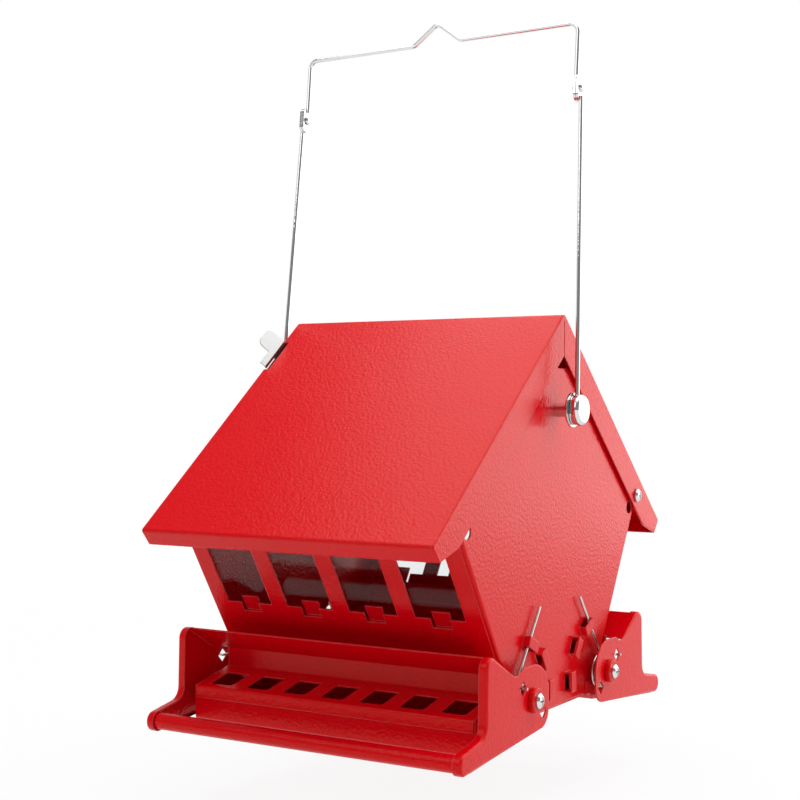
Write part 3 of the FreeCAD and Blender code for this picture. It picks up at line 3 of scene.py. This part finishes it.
import bmesh
import bpy
from bpy.props import FloatProperty, FloatVectorProperty, PointerProperty
from bpy.types import Operator, Panel, PropertyGroup
from mathutils import Euler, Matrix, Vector


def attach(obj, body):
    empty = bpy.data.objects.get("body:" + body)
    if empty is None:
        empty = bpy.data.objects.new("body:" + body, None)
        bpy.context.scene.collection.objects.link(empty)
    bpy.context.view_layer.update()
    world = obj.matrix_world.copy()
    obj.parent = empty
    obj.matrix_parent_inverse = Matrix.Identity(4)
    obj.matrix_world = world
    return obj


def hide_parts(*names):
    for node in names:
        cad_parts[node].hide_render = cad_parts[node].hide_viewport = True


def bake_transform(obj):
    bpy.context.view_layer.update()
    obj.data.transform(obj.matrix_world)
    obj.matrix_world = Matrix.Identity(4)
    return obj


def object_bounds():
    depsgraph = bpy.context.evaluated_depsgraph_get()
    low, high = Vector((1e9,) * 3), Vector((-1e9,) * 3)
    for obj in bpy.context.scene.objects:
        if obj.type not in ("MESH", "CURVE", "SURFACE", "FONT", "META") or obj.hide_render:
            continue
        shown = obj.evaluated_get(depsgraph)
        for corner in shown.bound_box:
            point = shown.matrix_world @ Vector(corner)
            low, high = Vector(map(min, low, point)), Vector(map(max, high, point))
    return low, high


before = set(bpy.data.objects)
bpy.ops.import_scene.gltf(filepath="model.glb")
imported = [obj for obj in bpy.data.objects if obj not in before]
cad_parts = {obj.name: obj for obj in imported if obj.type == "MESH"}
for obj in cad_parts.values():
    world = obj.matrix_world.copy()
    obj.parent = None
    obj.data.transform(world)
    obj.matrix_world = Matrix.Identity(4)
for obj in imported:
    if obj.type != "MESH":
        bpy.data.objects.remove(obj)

bl_info = {
    "name": "Hopper bird feeder finish",
    "version": (1, 0, 0),
    "blender": (4, 5, 0),
    "location": "3D View > Sidebar > Feeder",
    "description": "Finishes and studio for a two-sided sheet steel hopper bird feeder",
    "category": "Object",
}

CAD_BOX = [list(corner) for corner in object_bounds()]

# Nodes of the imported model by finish
SHEET_NODES = (
    "side_panel_left", "side_panel_right", "front_wall", "rear_wall", "front_feed_plate", "rear_feed_plate",
    "front_trough", "rear_trough", "hopper_floor", "seed_baffle", "front_shield", "rear_shield",
    "front_perch", "rear_perch", "roof",
)
BUSHING_NODES = ("pivot_bushings",)
PANE_NODES = ("front_pane", "rear_pane")
PLATED_NODES = (
    "pivot_screws", "pivot_nuts", "hinge_spacers", "hinge_screws", "hinge_nuts", "hanger_studs",
    "hanger_washers", "hanger_rivet_left", "hanger_rivet_right",
)
WIRE_NODES = ("hanger_arm_left", "hanger_arm_right", "hanger_bail")
CATCH_NODES = ("roof_catch", "catch_bracket", "catch_pin")

# Moving bodies that carry the pieces made here; the rounded shields ride on theirs, while the springs are
# not attached to theirs
SHIELD_BODIES = {"front_shield": "front_shield_unit", "rear_shield": "rear_shield_unit"}
SPRING_BODIES = {"front_springs": "front_shield_unit", "rear_springs": "rear_shield_unit"}
SPRING_ENDS = {"left": -1.0, "right": 1.0}

# Shapes, in metres and radians
MERGE_DISTANCE = 1e-6
FLAT_ANGLE = math.radians(0.5)
FOLD_ANGLE = math.radians(60.0)
FACE_ON = 0.99
EDGE_ON = 0.1
RIM_LEAST = 0.003
RIM_SEGMENTS = 5
OUTSIDE_BAND = 0.0005

# Textures shared by the finishes
NOISE_DETAIL = 3.0
CELL_SOFTNESS = 0.8
EVEN = (1.0, 1.0, 1.0)
EDGE_SAMPLES = 6
EDGE_START = 0.995
EDGE_END = 0.8
# Width of the patches that break the lighter edge coat, which is painted highlight and wear
EDGE_HIGHLIGHT_AND_WEAR_WIDTH = 0.006

# Powder coat
COAT_INDEX = 1.5
COAT_CLOUD = 0.06
COAT_SPREAD = 0.06
GRAIN_FINER = 3.0
GRAIN_FLATTER = 4.0

# Moulded bushings
BUSHING_INDEX = 1.49
BUSHING_CLOUD = 0.004
BUSHING_SHADE = 0.8
BUSHING_SMOOTH = 0.16
BUSHING_ROUGH = 0.28
BUSHING_GRAIN = 0.0005
BUSHING_GRAIN_DEPTH = 0.00001
BUSHING_ROUND = 0.0006

# Clear panes
SCUFF_WIDTH = 0.0015
SCUFF_DETAIL = 6.0
SCUFF_STRETCH = (0.15, 1.0, 1.0)
SCUFF_ROUGH = 0.03
SMEAR_WIDTH = 0.03
SMEAR_SHADE = 0.96

# Bright metals
STREAK_WIDTH = 0.0006
STREAK_DETAIL = 4.0
STREAK_DEPTH = 0.000006
STREAK_SMOOTHER = 0.6
STREAK_ROUGHER = 1.5
PLATE_CLOUD = 0.012
PLATE_SHADE = 0.92

# Studio
WHITE = (1.0, 1.0, 1.0, 1.0)
FLOOR_COLOUR = (0.85, 0.85, 0.85, 1.0)


class FeederFinish(PropertyGroup):
    """Colours and surface sizes of the feeder's finishes."""

    coat_colour: FloatVectorProperty(
        name="Coat colour", description="Powder coat on the steel sheet", subtype="COLOR", size=3,
        min=0.0, max=1.0, default=(0.8, 0.001, 0.008))
    coat_deep: FloatVectorProperty(
        name="Deep coat colour", description="Coat where it lies thick between the peel's cells",
        subtype="COLOR", size=3, min=0.0, max=1.0, default=(0.7, 0.0006, 0.006))
    # Lighter coat along the edges: painted highlight where folds and edges catch the light, and wear
    coat_edge_highlight_and_wear: FloatVectorProperty(
        name="Edge coat colour", description="Coat where it is rubbed thin along edges", subtype="COLOR",
        size=3, min=0.0, max=1.0, default=(0.92, 0.14, 0.14))
    coat_roughness: FloatProperty(
        name="Coat roughness", description="Roughness of the powder coat", subtype="FACTOR", min=0.0,
        max=1.0, default=0.19)
    coat_gloss: FloatProperty(
        name="Coat gloss", description="Share of light that the coat reflects", subtype="FACTOR", min=0.0,
        max=1.0, default=0.25)
    coat_glow: FloatVectorProperty(
        name="Coat glow", description="Tint of the coat's reflections", subtype="COLOR", size=3, min=0.0,
        max=1.0, default=(1.0, 0.7, 0.5))
    peel_size: FloatProperty(
        name="Peel size", description="Width of the orange peel's cells", unit="LENGTH", min=0.0002,
        max=0.02, default=0.0019)
    peel_depth: FloatProperty(
        name="Peel depth", description="Height of the orange peel", unit="LENGTH", min=0.0, max=0.001,
        default=0.00016)
    edge_round: FloatProperty(
        name="Edge round", description="Radius that the coat gives to sheet edges", unit="LENGTH", min=0.0,
        max=0.003, default=0.0012)
    rim_round: FloatProperty(
        name="Rim round", description="Outer radius of the folds round the shields' end plates",
        unit="LENGTH", min=0.0, max=0.003, default=0.0019)
    bushing_colour: FloatVectorProperty(
        name="Bushing colour", description="Moulded pivot bushings", subtype="COLOR", size=3, min=0.0,
        max=1.0, default=(0.8, 0.004, 0.004))
    pane_colour: FloatVectorProperty(
        name="Pane colour", description="Tint of the clear panes", subtype="COLOR", size=3, min=0.0,
        max=1.0, default=(0.93, 0.94, 0.94))
    pane_index: FloatProperty(
        name="Pane index", description="Refractive index of the clear panes", min=1.0, max=2.5,
        default=1.18)
    plate_colour: FloatVectorProperty(
        name="Plating colour", description="Bright plated screws, studs and rivets", subtype="COLOR",
        size=3, min=0.0, max=1.0, default=(0.78, 0.78, 0.78))
    wire_colour: FloatVectorProperty(
        name="Hanger colour", description="Bright plated hanger wire", subtype="COLOR", size=3, min=0.0,
        max=1.0, default=(0.8, 0.8, 0.81))
    strip_colour: FloatVectorProperty(
        name="Catch colour", description="Bright strip of the roof catch", subtype="COLOR", size=3, min=0.0,
        max=1.0, default=(0.46, 0.46, 0.455))
    spring_colour: FloatVectorProperty(
        name="Spring colour", description="Drawn wire of the torsion springs", subtype="COLOR", size=3,
        min=0.0, max=1.0, default=(0.66, 0.65, 0.63))
    metal_rim: FloatProperty(
        name="Metal rim", description="How bright metal stays where it turns away", subtype="FACTOR",
        min=0.0, max=1.0, default=0.7)


class FeederStudio(PropertyGroup):
    """Camera, lamps and floor."""

    camera_place: FloatVectorProperty(
        name="Camera place", description="Where the camera stands", subtype="TRANSLATION", size=3,
        default=(0.5302, -0.90067, 0.21758))
    camera_turn: FloatVectorProperty(
        name="Camera turn", description="Camera pitch from straight down, roll and yaw", subtype="EULER",
        size=3, default=(math.radians(90.113), math.radians(-0.022), math.radians(31.358)))
    camera_lens: FloatProperty(
        name="Lens", description="Focal length on a full-width sensor", unit="CAMERA", min=10.0, max=300.0,
        default=66.06)
    sensor_width: FloatProperty(
        name="Sensor", description="Width of the camera's sensor", unit="CAMERA", min=5.0, max=100.0,
        default=36.0)
    floor_width: FloatProperty(
        name="Floor width", description="Side of the square floor", unit="LENGTH", min=1.0, max=200.0,
        default=60.0)
    floor_drop: FloatProperty(
        name="Floor drop", description="Room below the hanging feeder for a shield that swings down",
        unit="LENGTH", min=0.0, max=2.0, default=0.05)
    sky_light: FloatProperty(
        name="Sky light", description="Strength of the even light from the surroundings", min=0.0, max=5.0,
        default=0.24)
    wall_facing: FloatVectorProperty(
        name="Wall facing", description="Direction of the white wall behind the stage",
        subtype="DIRECTION", size=3, default=(-0.52, 0.854, 0.0))
    wall_edge: FloatProperty(
        name="Wall edge", description="Softness of the white wall's side edges", min=0.01, max=1.0,
        default=0.25)
    wall_top: FloatProperty(
        name="Wall top", description="Slope at which the white wall behind the stage starts to fade",
        min=0.0, max=1.0, default=0.25)
    ceiling: FloatProperty(
        name="Ceiling", description="Slope above which the surroundings are as dim as the sky light",
        min=0.0, max=1.0, default=0.7)
    floor_white: FloatProperty(
        name="Floor white", description="Share of plain white in the floor by the object", subtype="FACTOR",
        min=0.0, max=1.0, default=0.9)
    floor_fade: FloatProperty(
        name="Floor fade", description="Distance at which the floor is plain white", unit="LENGTH", min=0.1,
        max=20.0, default=1.4)
    key_power: FloatProperty(
        name="Key lamp", description="Power of the large lamp over the front", unit="POWER", min=0.0,
        max=500.0, default=10.0)
    roof_power: FloatProperty(
        name="Roof lamp", description="Power of the lamp above the roof", unit="POWER", min=0.0, max=500.0,
        default=34.0)
    side_power: FloatProperty(
        name="Side lamp", description="Power of the lamp at the right, behind", unit="POWER", min=0.0,
        max=500.0, default=16.0)


class Finish:
    """A node tree under construction, with short ways to add and join its nodes."""

    def __init__(self, name):
        self.material = bpy.data.materials.new(name)
        self.material.use_nodes = True
        self.tree = self.material.node_tree
        self.tree.nodes.clear()
        self.output = self.add("ShaderNodeOutputMaterial")
        self.shader = self.add("ShaderNodeBsdfPrincipled")
        self.join(self.shader, "BSDF", self.output, "Surface")
        self.place = self.add("ShaderNodeTexCoord")

    def add(self, kind, **settings):
        node = self.tree.nodes.new(kind)
        for name, setting in settings.items():
            setattr(node, name, setting)
        return node

    def join(self, source, outlet, target, inlet):
        self.tree.links.new(source.outputs[outlet], target.inputs[inlet])

    def noise(self, width, detail=NOISE_DETAIL, stretch=EVEN):
        """Noise whose features are about the given width."""
        mapping = self.add("ShaderNodeMapping")
        mapping.inputs["Scale"].default_value = stretch
        self.join(self.place, "Object", mapping, "Vector")
        texture = self.add("ShaderNodeTexNoise")
        texture.inputs["Scale"].default_value = 1.0 / width
        texture.inputs["Detail"].default_value = detail
        self.join(mapping, "Vector", texture, "Vector")
        return texture

    def cells(self, width):
        """Soft cells of the given width."""
        texture = self.add("ShaderNodeTexVoronoi", feature="SMOOTH_F1")
        texture.inputs["Scale"].default_value = 1.0 / width
        texture.inputs["Smoothness"].default_value = CELL_SOFTNESS
        self.join(self.place, "Object", texture, "Vector")
        return texture

    def spread(self, source, outlet, low, high):
        """A number that runs from low to high with the source."""
        ramp = self.add("ShaderNodeMapRange")
        ramp.inputs["To Min"].default_value = low
        ramp.inputs["To Max"].default_value = high
        self.join(source, outlet, ramp, "Value")
        return ramp

    def mixed(self, source, outlet, first, second):
        """A colour between two with the source."""
        mix = self.add("ShaderNodeMix", data_type="RGBA")
        mix.inputs["A"].default_value = (*first, 1.0)
        mix.inputs["B"].default_value = (*second, 1.0)
        self.join(source, outlet, mix, "Factor")
        return mix

    def height(self, source, outlet, depth, under=None):
        """Bump of the given depth over another normal."""
        bump = self.add("ShaderNodeBump")
        bump.inputs["Strength"].default_value = 1.0
        bump.inputs["Distance"].default_value = depth
        self.join(source, outlet, bump, "Height")
        if under is not None:
            self.join(under, "Normal", bump, "Normal")
        return bump

    def rounded(self, radius):
        """Normal that rounds the sheet's edges."""
        bevel = self.add("ShaderNodeBevel", samples=EDGE_SAMPLES)
        bevel.inputs["Radius"].default_value = radius
        return bevel

    def edge_highlight_and_wear(self, radius):
        """One along edges, where the rounded normal leaves the face's own, and zero on faces; broken into
        patches, it lays the painted edge highlight and the wear.
        """
        shape = self.add("ShaderNodeNewGeometry")
        agree = self.add("ShaderNodeVectorMath", operation="DOT_PRODUCT")
        self.join(self.rounded(radius), "Normal", agree, 0)
        self.join(shape, "True Normal", agree, 1)
        edge = self.add("ShaderNodeMapRange")
        edge.inputs["From Min"].default_value = EDGE_START
        edge.inputs["From Max"].default_value = EDGE_END
        self.join(agree, "Value", edge, "Value")
        patches = self.noise(EDGE_HIGHLIGHT_AND_WEAR_WIDTH)
        broken = self.add("ShaderNodeMath", operation="MULTIPLY")
        self.join(edge, "Result", broken, 0)
        self.join(patches, "Fac", broken, 1)
        return broken

    def over(self, source, outlet, mix, colour):
        """A second colour laid over a mixed one with the source."""
        layer = self.add("ShaderNodeMix", data_type="RGBA")
        self.join(mix, "Result", layer, "A")
        layer.inputs["B"].default_value = (*colour, 1.0)
        self.join(source, outlet, layer, "Factor")
        return layer

    def set(self, **numbers):
        """Constant values on the shader's own sockets."""
        for name, number in numbers.items():
            self.shader.inputs[name.replace("_", " ")].default_value = number


def shaded(colour, share):
    """The colour made darker, to the given share."""
    return [share * part for part in colour]


def dress(names, material):
    """Give CAD nodes one material."""
    for name in names:
        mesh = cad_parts[name].data
        mesh.materials.clear()
        mesh.materials.append(material)


class FEEDER_OT_coat_sheets(Operator):
    """Red powder coat with a fine orange peel on the steel sheets"""

    bl_idname = "feeder.coat_sheets"
    bl_label = "Coat the sheets"

    def execute(self, context):
        looks = context.scene.feeder_finish
        finish = Finish("red_coat")
        peel = finish.cells(looks.peel_size)
        grain = finish.noise(looks.peel_size / GRAIN_FINER)
        cloud = finish.noise(COAT_CLOUD)
        colour = finish.mixed(peel, "Distance", looks.coat_colour, looks.coat_deep)
        # Lighter coat along the edges: painted highlight on the edges' rounding, and wear
        thin = finish.over(finish.edge_highlight_and_wear(looks.edge_round), "Value", colour, looks.coat_edge_highlight_and_wear)
        finish.join(thin, "Result", finish.shader, "Base Color")
        smooth = looks.coat_roughness - COAT_SPREAD
        rough = finish.spread(cloud, "Fac", smooth, looks.coat_roughness + COAT_SPREAD)
        finish.join(rough, "Result", finish.shader, "Roughness")
        edge = finish.rounded(looks.edge_round)
        waves = finish.height(peel, "Distance", looks.peel_depth, edge)
        fine = finish.height(grain, "Fac", looks.peel_depth / GRAIN_FLATTER, waves)
        finish.join(fine, "Normal", finish.shader, "Normal")
        glow = (*looks.coat_glow, 1.0)
        finish.set(IOR=COAT_INDEX, Specular_IOR_Level=looks.coat_gloss, Specular_Tint=glow)
        dress(SHEET_NODES, finish.material)
        return {"FINISHED"}


def merged_copy(node):
    """Shape of a CAD node with its loose triangles joined."""
    shape = bmesh.new()
    shape.from_mesh(node.data)
    bmesh.ops.remove_doubles(shape, verts=shape.verts[:], dist=MERGE_DISTANCE)
    return shape


def new_piece(context, name, shape, materials):
    """Object at the origin that takes over a closed shape."""
    if not shape.faces or not all(edge.is_manifold for edge in shape.edges):
        raise RuntimeError("%s isn't closed" % name)
    mesh = bpy.data.meshes.new(name)
    shape.to_mesh(mesh)
    shape.free()
    for material in materials:
        mesh.materials.append(material)
    piece = bpy.data.objects.new(name, mesh)
    context.scene.collection.objects.link(piece)
    return piece


def outer_folds(shape):
    """Edges where an end plate's outer face turns into its rim or into the web."""
    outside = max(abs(corner.co.x) for corner in shape.verts) - OUTSIDE_BAND
    folds = []
    for edge in shape.edges:
        on_outside = all(abs(corner.co.x) > outside for corner in edge.verts)
        if not on_outside or edge.calc_face_angle_signed() < FOLD_ANGLE:
            continue
        plate, rim = sorted(edge.link_faces, key=lambda face: -abs(face.normal.x))
        across = [corner.co.x for corner in rim.verts]
        is_fold = abs(plate.normal.x) > FACE_ON and abs(rim.normal.x) < EDGE_ON
        if is_fold and max(across) - min(across) > RIM_LEAST:
            folds.append(edge)
    return folds


class FEEDER_OT_round_rims(Operator):
    """Shields with the round folds of bent sheet along their end plates"""

    bl_idname = "feeder.round_rims"
    bl_label = "Round the rims"

    def execute(self, context):
        looks = context.scene.feeder_finish
        for name, body in SHIELD_BODIES.items():
            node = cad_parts[name]
            shape = merged_copy(node)
            bmesh.ops.dissolve_limit(
                shape, angle_limit=FLAT_ANGLE, verts=shape.verts[:], edges=shape.edges[:], delimit=set())
            rounded = bmesh.ops.bevel(
                shape, geom=outer_folds(shape), offset=looks.rim_round, offset_type="OFFSET",
                affect="EDGES", segments=RIM_SEGMENTS, profile=0.5, material=-1)
            for face in rounded["faces"]:
                face.smooth = True
            piece = new_piece(context, name + "_rounded", shape, node.data.materials)
            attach(piece, body)
            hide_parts(name)
        return {"FINISHED"}


class FEEDER_OT_mould_bushings(Operator):
    """Gloss red plastic on the pivot bushings"""

    bl_idname = "feeder.mould_bushings"
    bl_label = "Mould the bushings"

    def execute(self, context):
        looks = context.scene.feeder_finish
        finish = Finish("red_plastic")
        cloud = finish.noise(BUSHING_CLOUD)
        dark = shaded(looks.bushing_colour, BUSHING_SHADE)
        shade = finish.mixed(cloud, "Fac", looks.bushing_colour, dark)
        finish.join(shade, "Result", finish.shader, "Base Color")
        rough = finish.spread(cloud, "Fac", BUSHING_SMOOTH, BUSHING_ROUGH)
        finish.join(rough, "Result", finish.shader, "Roughness")
        grain = finish.noise(BUSHING_GRAIN)
        fine = finish.height(grain, "Fac", BUSHING_GRAIN_DEPTH, finish.rounded(BUSHING_ROUND))
        finish.join(fine, "Normal", finish.shader, "Normal")
        finish.set(IOR=BUSHING_INDEX, Specular_IOR_Level=looks.coat_gloss)
        dress(BUSHING_NODES, finish.material)
        return {"FINISHED"}


class FEEDER_OT_clear_panes(Operator):
    """Clear sheet with faint scuffs in the windows"""

    bl_idname = "feeder.clear_panes"
    bl_label = "Clear the panes"

    def execute(self, context):
        looks = context.scene.feeder_finish
        finish = Finish("clear_pane")
        scuffs = finish.noise(SCUFF_WIDTH, SCUFF_DETAIL, SCUFF_STRETCH)
        rough = finish.spread(scuffs, "Fac", 0.0, SCUFF_ROUGH)
        finish.join(rough, "Result", finish.shader, "Roughness")
        smears = finish.noise(SMEAR_WIDTH)
        tint = finish.mixed(smears, "Fac", looks.pane_colour, shaded(looks.pane_colour, SMEAR_SHADE))
        finish.join(tint, "Result", finish.shader, "Base Color")
        finish.set(IOR=looks.pane_index, Transmission_Weight=1.0)
        dress(PANE_NODES, finish.material)
        return {"FINISHED"}


def bright_metal(looks, name, colour, roughness, streak, round_radius):
    """Plated or drawn metal with fine streaks along one direction."""
    finish = Finish(name)
    lines = finish.noise(STREAK_WIDTH, STREAK_DETAIL, streak)
    cloud = finish.noise(PLATE_CLOUD)
    shade = finish.mixed(cloud, "Fac", colour, shaded(colour, PLATE_SHADE))
    finish.join(shade, "Result", finish.shader, "Base Color")
    rough = finish.spread(lines, "Fac", STREAK_SMOOTHER * roughness, STREAK_ROUGHER * roughness)
    finish.join(rough, "Result", finish.shader, "Roughness")
    fine = finish.height(lines, "Fac", STREAK_DEPTH, finish.rounded(round_radius))
    finish.join(fine, "Normal", finish.shader, "Normal")
    finish.set(Metallic=1.0, Specular_Tint=(looks.metal_rim, looks.metal_rim, looks.metal_rim, 1.0))
    return finish.material


class FEEDER_OT_plate_hardware(Operator):
    """Bright plating on the screws, nuts, studs, washers and rivets"""

    bl_idname = "feeder.plate_hardware"
    bl_label = "Plate the hardware"

    def execute(self, context):
        looks = context.scene.feeder_finish
        plate = bright_metal(
            looks, "bright_plate", looks.plate_colour, roughness=0.12, streak=(1.0, 0.3, 0.3),
            round_radius=0.0003)
        dress(PLATED_NODES, plate)
        return {"FINISHED"}


class FEEDER_OT_plate_hanger(Operator):
    """Bright plating on the hanger wire"""

    bl_idname = "feeder.plate_hanger"
    bl_label = "Plate the hanger"

    def execute(self, context):
        looks = context.scene.feeder_finish
        plate = bright_metal(
            looks, "hanger_plate", looks.wire_colour, roughness=0.06, streak=(1.0, 1.0, 0.08),
            round_radius=0.0004)
        dress(WIRE_NODES, plate)
        return {"FINISHED"}


class FEEDER_OT_finish_catch(Operator):
    """Bright rolled strip on the roof catch and its bracket"""

    bl_idname = "feeder.finish_catch"
    bl_label = "Finish the catch"

    def execute(self, context):
        looks = context.scene.feeder_finish
        strip = bright_metal(
            looks, "catch_strip", looks.strip_colour, roughness=0.3, streak=(0.1, 1.0, 1.0),
            round_radius=0.0002)
        dress(CATCH_NODES, strip)
        return {"FINISHED"}


def one_spring(node, side):
    """Smooth merged copy of the spring at one end of the feeder."""
    shape = merged_copy(node)
    others = [corner for corner in shape.verts if corner.co.x * side < 0.0]
    bmesh.ops.delete(shape, geom=others, context="VERTS")
    for face in shape.faces:
        face.smooth = True
    for edge in shape.edges:
        edge.smooth = edge.calc_face_angle() < FOLD_ANGLE
    return shape


class FEEDER_OT_draw_springs(Operator):
    """Torsion springs of drawn wire between the side panels and the shields, one piece for each end"""

    bl_idname = "feeder.draw_springs"
    bl_label = "Draw the springs"

    def execute(self, context):
        looks = context.scene.feeder_finish
        wire = bright_metal(
            looks, "spring_wire", looks.spring_colour, roughness=0.22, streak=(0.2, 1.0, 1.0),
            round_radius=0.0002)
        for name, body in SPRING_BODIES.items():
            for end, side in SPRING_ENDS.items():
                shape = one_spring(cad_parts[name], side)
                piece = new_piece(context, "%s_%s" % (name, end), shape, [wire])
                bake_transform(piece)
                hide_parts(name)
        return {"FINISHED"}


def worked(tree, operation, first, second):
    """Result of a sum on two numbers."""
    node = tree.nodes.new("ShaderNodeMath")
    node.operation = operation
    tree.links.new(first, node.inputs[0])
    tree.links.new(second, node.inputs[1])
    return node.outputs["Value"]


def ranged(tree, source, start, end):
    """Zero where the source is at start or before, one at end or after."""
    node = tree.nodes.new("ShaderNodeMapRange")
    node.interpolation_type = "SMOOTHSTEP"
    node.inputs["From Min"].default_value = start
    node.inputs["From Max"].default_value = end
    tree.links.new(source, node.inputs["Value"])
    return node.outputs["Result"]


class FEEDER_OT_set_stage(Operator):
    """White floor, soft light and the camera"""

    bl_idname = "feeder.set_stage"
    bl_label = "Set the stage"

    def execute(self, context):
        scene = context.scene
        studio = scene.feeder_studio
        scene.view_settings.view_transform = "Standard"
        self.white_surroundings(scene, studio)
        self.white_floor(scene, studio)
        middle = (Vector(CAD_BOX[0]) + Vector(CAD_BOX[1])) / 2.0
        self.lamp(scene, "key_lamp", middle, place=(-0.5, -1.5, 1.5), width=1.4, power=studio.key_power)
        self.lamp(scene, "roof_lamp", middle, place=(0.1, 0.35, 1.75), width=2.2, power=studio.roof_power)
        self.lamp(scene, "side_lamp", middle, place=(1.0, 1.05, 0.6), width=2.0, power=studio.side_power)
        lens = bpy.data.cameras.new("photo_camera")
        lens.sensor_width = studio.sensor_width
        lens.lens = studio.camera_lens
        camera = bpy.data.objects.new("photo_camera", lens)
        scene.collection.objects.link(camera)
        camera.location = studio.camera_place
        camera.rotation_euler = Euler(studio.camera_turn)
        scene.camera = camera
        return {"FINISHED"}

    def white_surroundings(self, scene, studio):
        """White to the camera and through panes, dim elsewhere, with a white wall in reflections."""
        world = bpy.data.worlds.new("white_room")
        scene.world = world
        world.use_nodes = True
        tree = world.node_tree
        tree.nodes.clear()
        output = tree.nodes.new("ShaderNodeOutputWorld")
        light = tree.nodes.new("ShaderNodeBackground")
        light.inputs["Strength"].default_value = studio.sky_light
        white = tree.nodes.new("ShaderNodeBackground")
        mix = tree.nodes.new("ShaderNodeMixShader")
        for background in (light, white):
            background.inputs["Color"].default_value = WHITE
        path = tree.nodes.new("ShaderNodeLightPath")
        seen = path.outputs["Is Camera Ray"]
        through = worked(tree, "MAXIMUM", seen, path.outputs["Is Transmission Ray"])
        mirrored = worked(tree, "MULTIPLY", path.outputs["Is Glossy Ray"], self.wall_share(tree, studio))
        tree.links.new(worked(tree, "MAXIMUM", through, mirrored), mix.inputs["Fac"])
        tree.links.new(light.outputs["Background"], mix.inputs[1])
        tree.links.new(white.outputs["Background"], mix.inputs[2])
        tree.links.new(mix.outputs["Shader"], output.inputs["Surface"])

    def wall_share(self, tree, studio):
        """One toward the white wall behind the stage, zero toward the ceiling and the room in front."""
        direction = tree.nodes.new("ShaderNodeTexCoord").outputs["Generated"]
        parts = tree.nodes.new("ShaderNodeSeparateXYZ")
        tree.links.new(direction, parts.inputs["Vector"])
        facing = tree.nodes.new("ShaderNodeVectorMath")
        facing.operation = "DOT_PRODUCT"
        tree.links.new(direction, facing.inputs[0])
        facing.inputs[1].default_value = studio.wall_facing
        behind = ranged(tree, facing.outputs["Value"], -studio.wall_edge, studio.wall_edge)
        low = ranged(tree, parts.outputs["Z"], studio.ceiling, studio.wall_top)
        return worked(tree, "MULTIPLY", behind, low)

    def white_floor(self, scene, studio):
        """Pale floor that fades to plain white and keeps the feeder's soft shadow."""
        level = CAD_BOX[0][2] - studio.floor_drop
        bpy.ops.mesh.primitive_plane_add(size=studio.floor_width, location=(0.0, 0.0, level))
        floor = bpy.context.object
        floor.name = "floor"
        material = bpy.data.materials.new("white_floor")
        material.use_nodes = True
        tree = material.node_tree
        tree.nodes.clear()
        output = tree.nodes.new("ShaderNodeOutputMaterial")
        matt = tree.nodes.new("ShaderNodeBsdfDiffuse")
        matt.inputs["Color"].default_value = FLOOR_COLOUR
        white = tree.nodes.new("ShaderNodeEmission")
        place = tree.nodes.new("ShaderNodeTexCoord")
        reach = tree.nodes.new("ShaderNodeVectorMath")
        reach.operation = "LENGTH"
        fade = tree.nodes.new("ShaderNodeMapRange")
        fade.inputs["From Max"].default_value = studio.floor_fade
        fade.inputs["To Min"].default_value = studio.floor_white
        mix = tree.nodes.new("ShaderNodeMixShader")
        tree.links.new(place.outputs["Object"], reach.inputs[0])
        tree.links.new(reach.outputs["Value"], fade.inputs["Value"])
        path = tree.nodes.new("ShaderNodeLightPath")
        mirrored = path.outputs["Is Glossy Ray"]
        through = worked(tree, "MAXIMUM", mirrored, path.outputs["Is Transmission Ray"])
        seen = worked(tree, "MAXIMUM", path.outputs["Is Camera Ray"], through)
        tree.links.new(worked(tree, "MULTIPLY", seen, fade.outputs["Result"]), mix.inputs["Fac"])
        tree.links.new(matt.outputs["BSDF"], mix.inputs[1])
        tree.links.new(white.outputs["Emission"], mix.inputs[2])
        tree.links.new(mix.outputs["Shader"], output.inputs["Surface"])
        floor.data.materials.append(material)

    def lamp(self, scene, name, target, place, width, power):
        """Square soft lamp aimed at the target."""
        light = bpy.data.lights.new(name, "AREA")
        light.shape = "SQUARE"
        light.size = width
        light.energy = power
        lamp = bpy.data.objects.new(name, light)
        scene.collection.objects.link(lamp)
        lamp.location = place
        lamp.rotation_euler = (target - Vector(place)).to_track_quat("-Z", "Y").to_euler()


OPERATORS = (
    FEEDER_OT_coat_sheets, FEEDER_OT_round_rims, FEEDER_OT_mould_bushings, FEEDER_OT_clear_panes,
    FEEDER_OT_plate_hardware, FEEDER_OT_plate_hanger, FEEDER_OT_finish_catch, FEEDER_OT_draw_springs,
    FEEDER_OT_set_stage,
)


class FEEDER_PT_sidebar(Panel):
    """Lists the feeder's steps"""

    bl_idname = "FEEDER_PT_sidebar"
    bl_label = "Bird feeder"
    bl_space_type = "VIEW_3D"
    bl_region_type = "UI"
    bl_category = "Feeder"

    def draw(self, context):
        for group in (context.scene.feeder_finish, context.scene.feeder_studio):
            for name in group.__annotations__:
                self.layout.prop(group, name)
        for operator in OPERATORS:
            self.layout.operator(operator.bl_idname)


CLASSES = (FeederFinish, FeederStudio, *OPERATORS, FEEDER_PT_sidebar)


def register():
    for item in CLASSES:
        bpy.utils.register_class(item)
    bpy.types.Scene.feeder_finish = PointerProperty(type=FeederFinish)
    bpy.types.Scene.feeder_studio = PointerProperty(type=FeederStudio)


def unregister():
    del bpy.types.Scene.feeder_studio
    del bpy.types.Scene.feeder_finish
    for item in reversed(CLASSES):
        bpy.utils.unregister_class(item)


def main():
    register()
    bpy.ops.feeder.coat_sheets()
    bpy.ops.feeder.round_rims()
    bpy.ops.feeder.mould_bushings()
    bpy.ops.feeder.clear_panes()
    bpy.ops.feeder.plate_hardware()
    bpy.ops.feeder.plate_hanger()
    bpy.ops.feeder.finish_catch()
    bpy.ops.feeder.draw_springs()
    bpy.ops.feeder.set_stage()


if __name__ == "__main__":
    main()
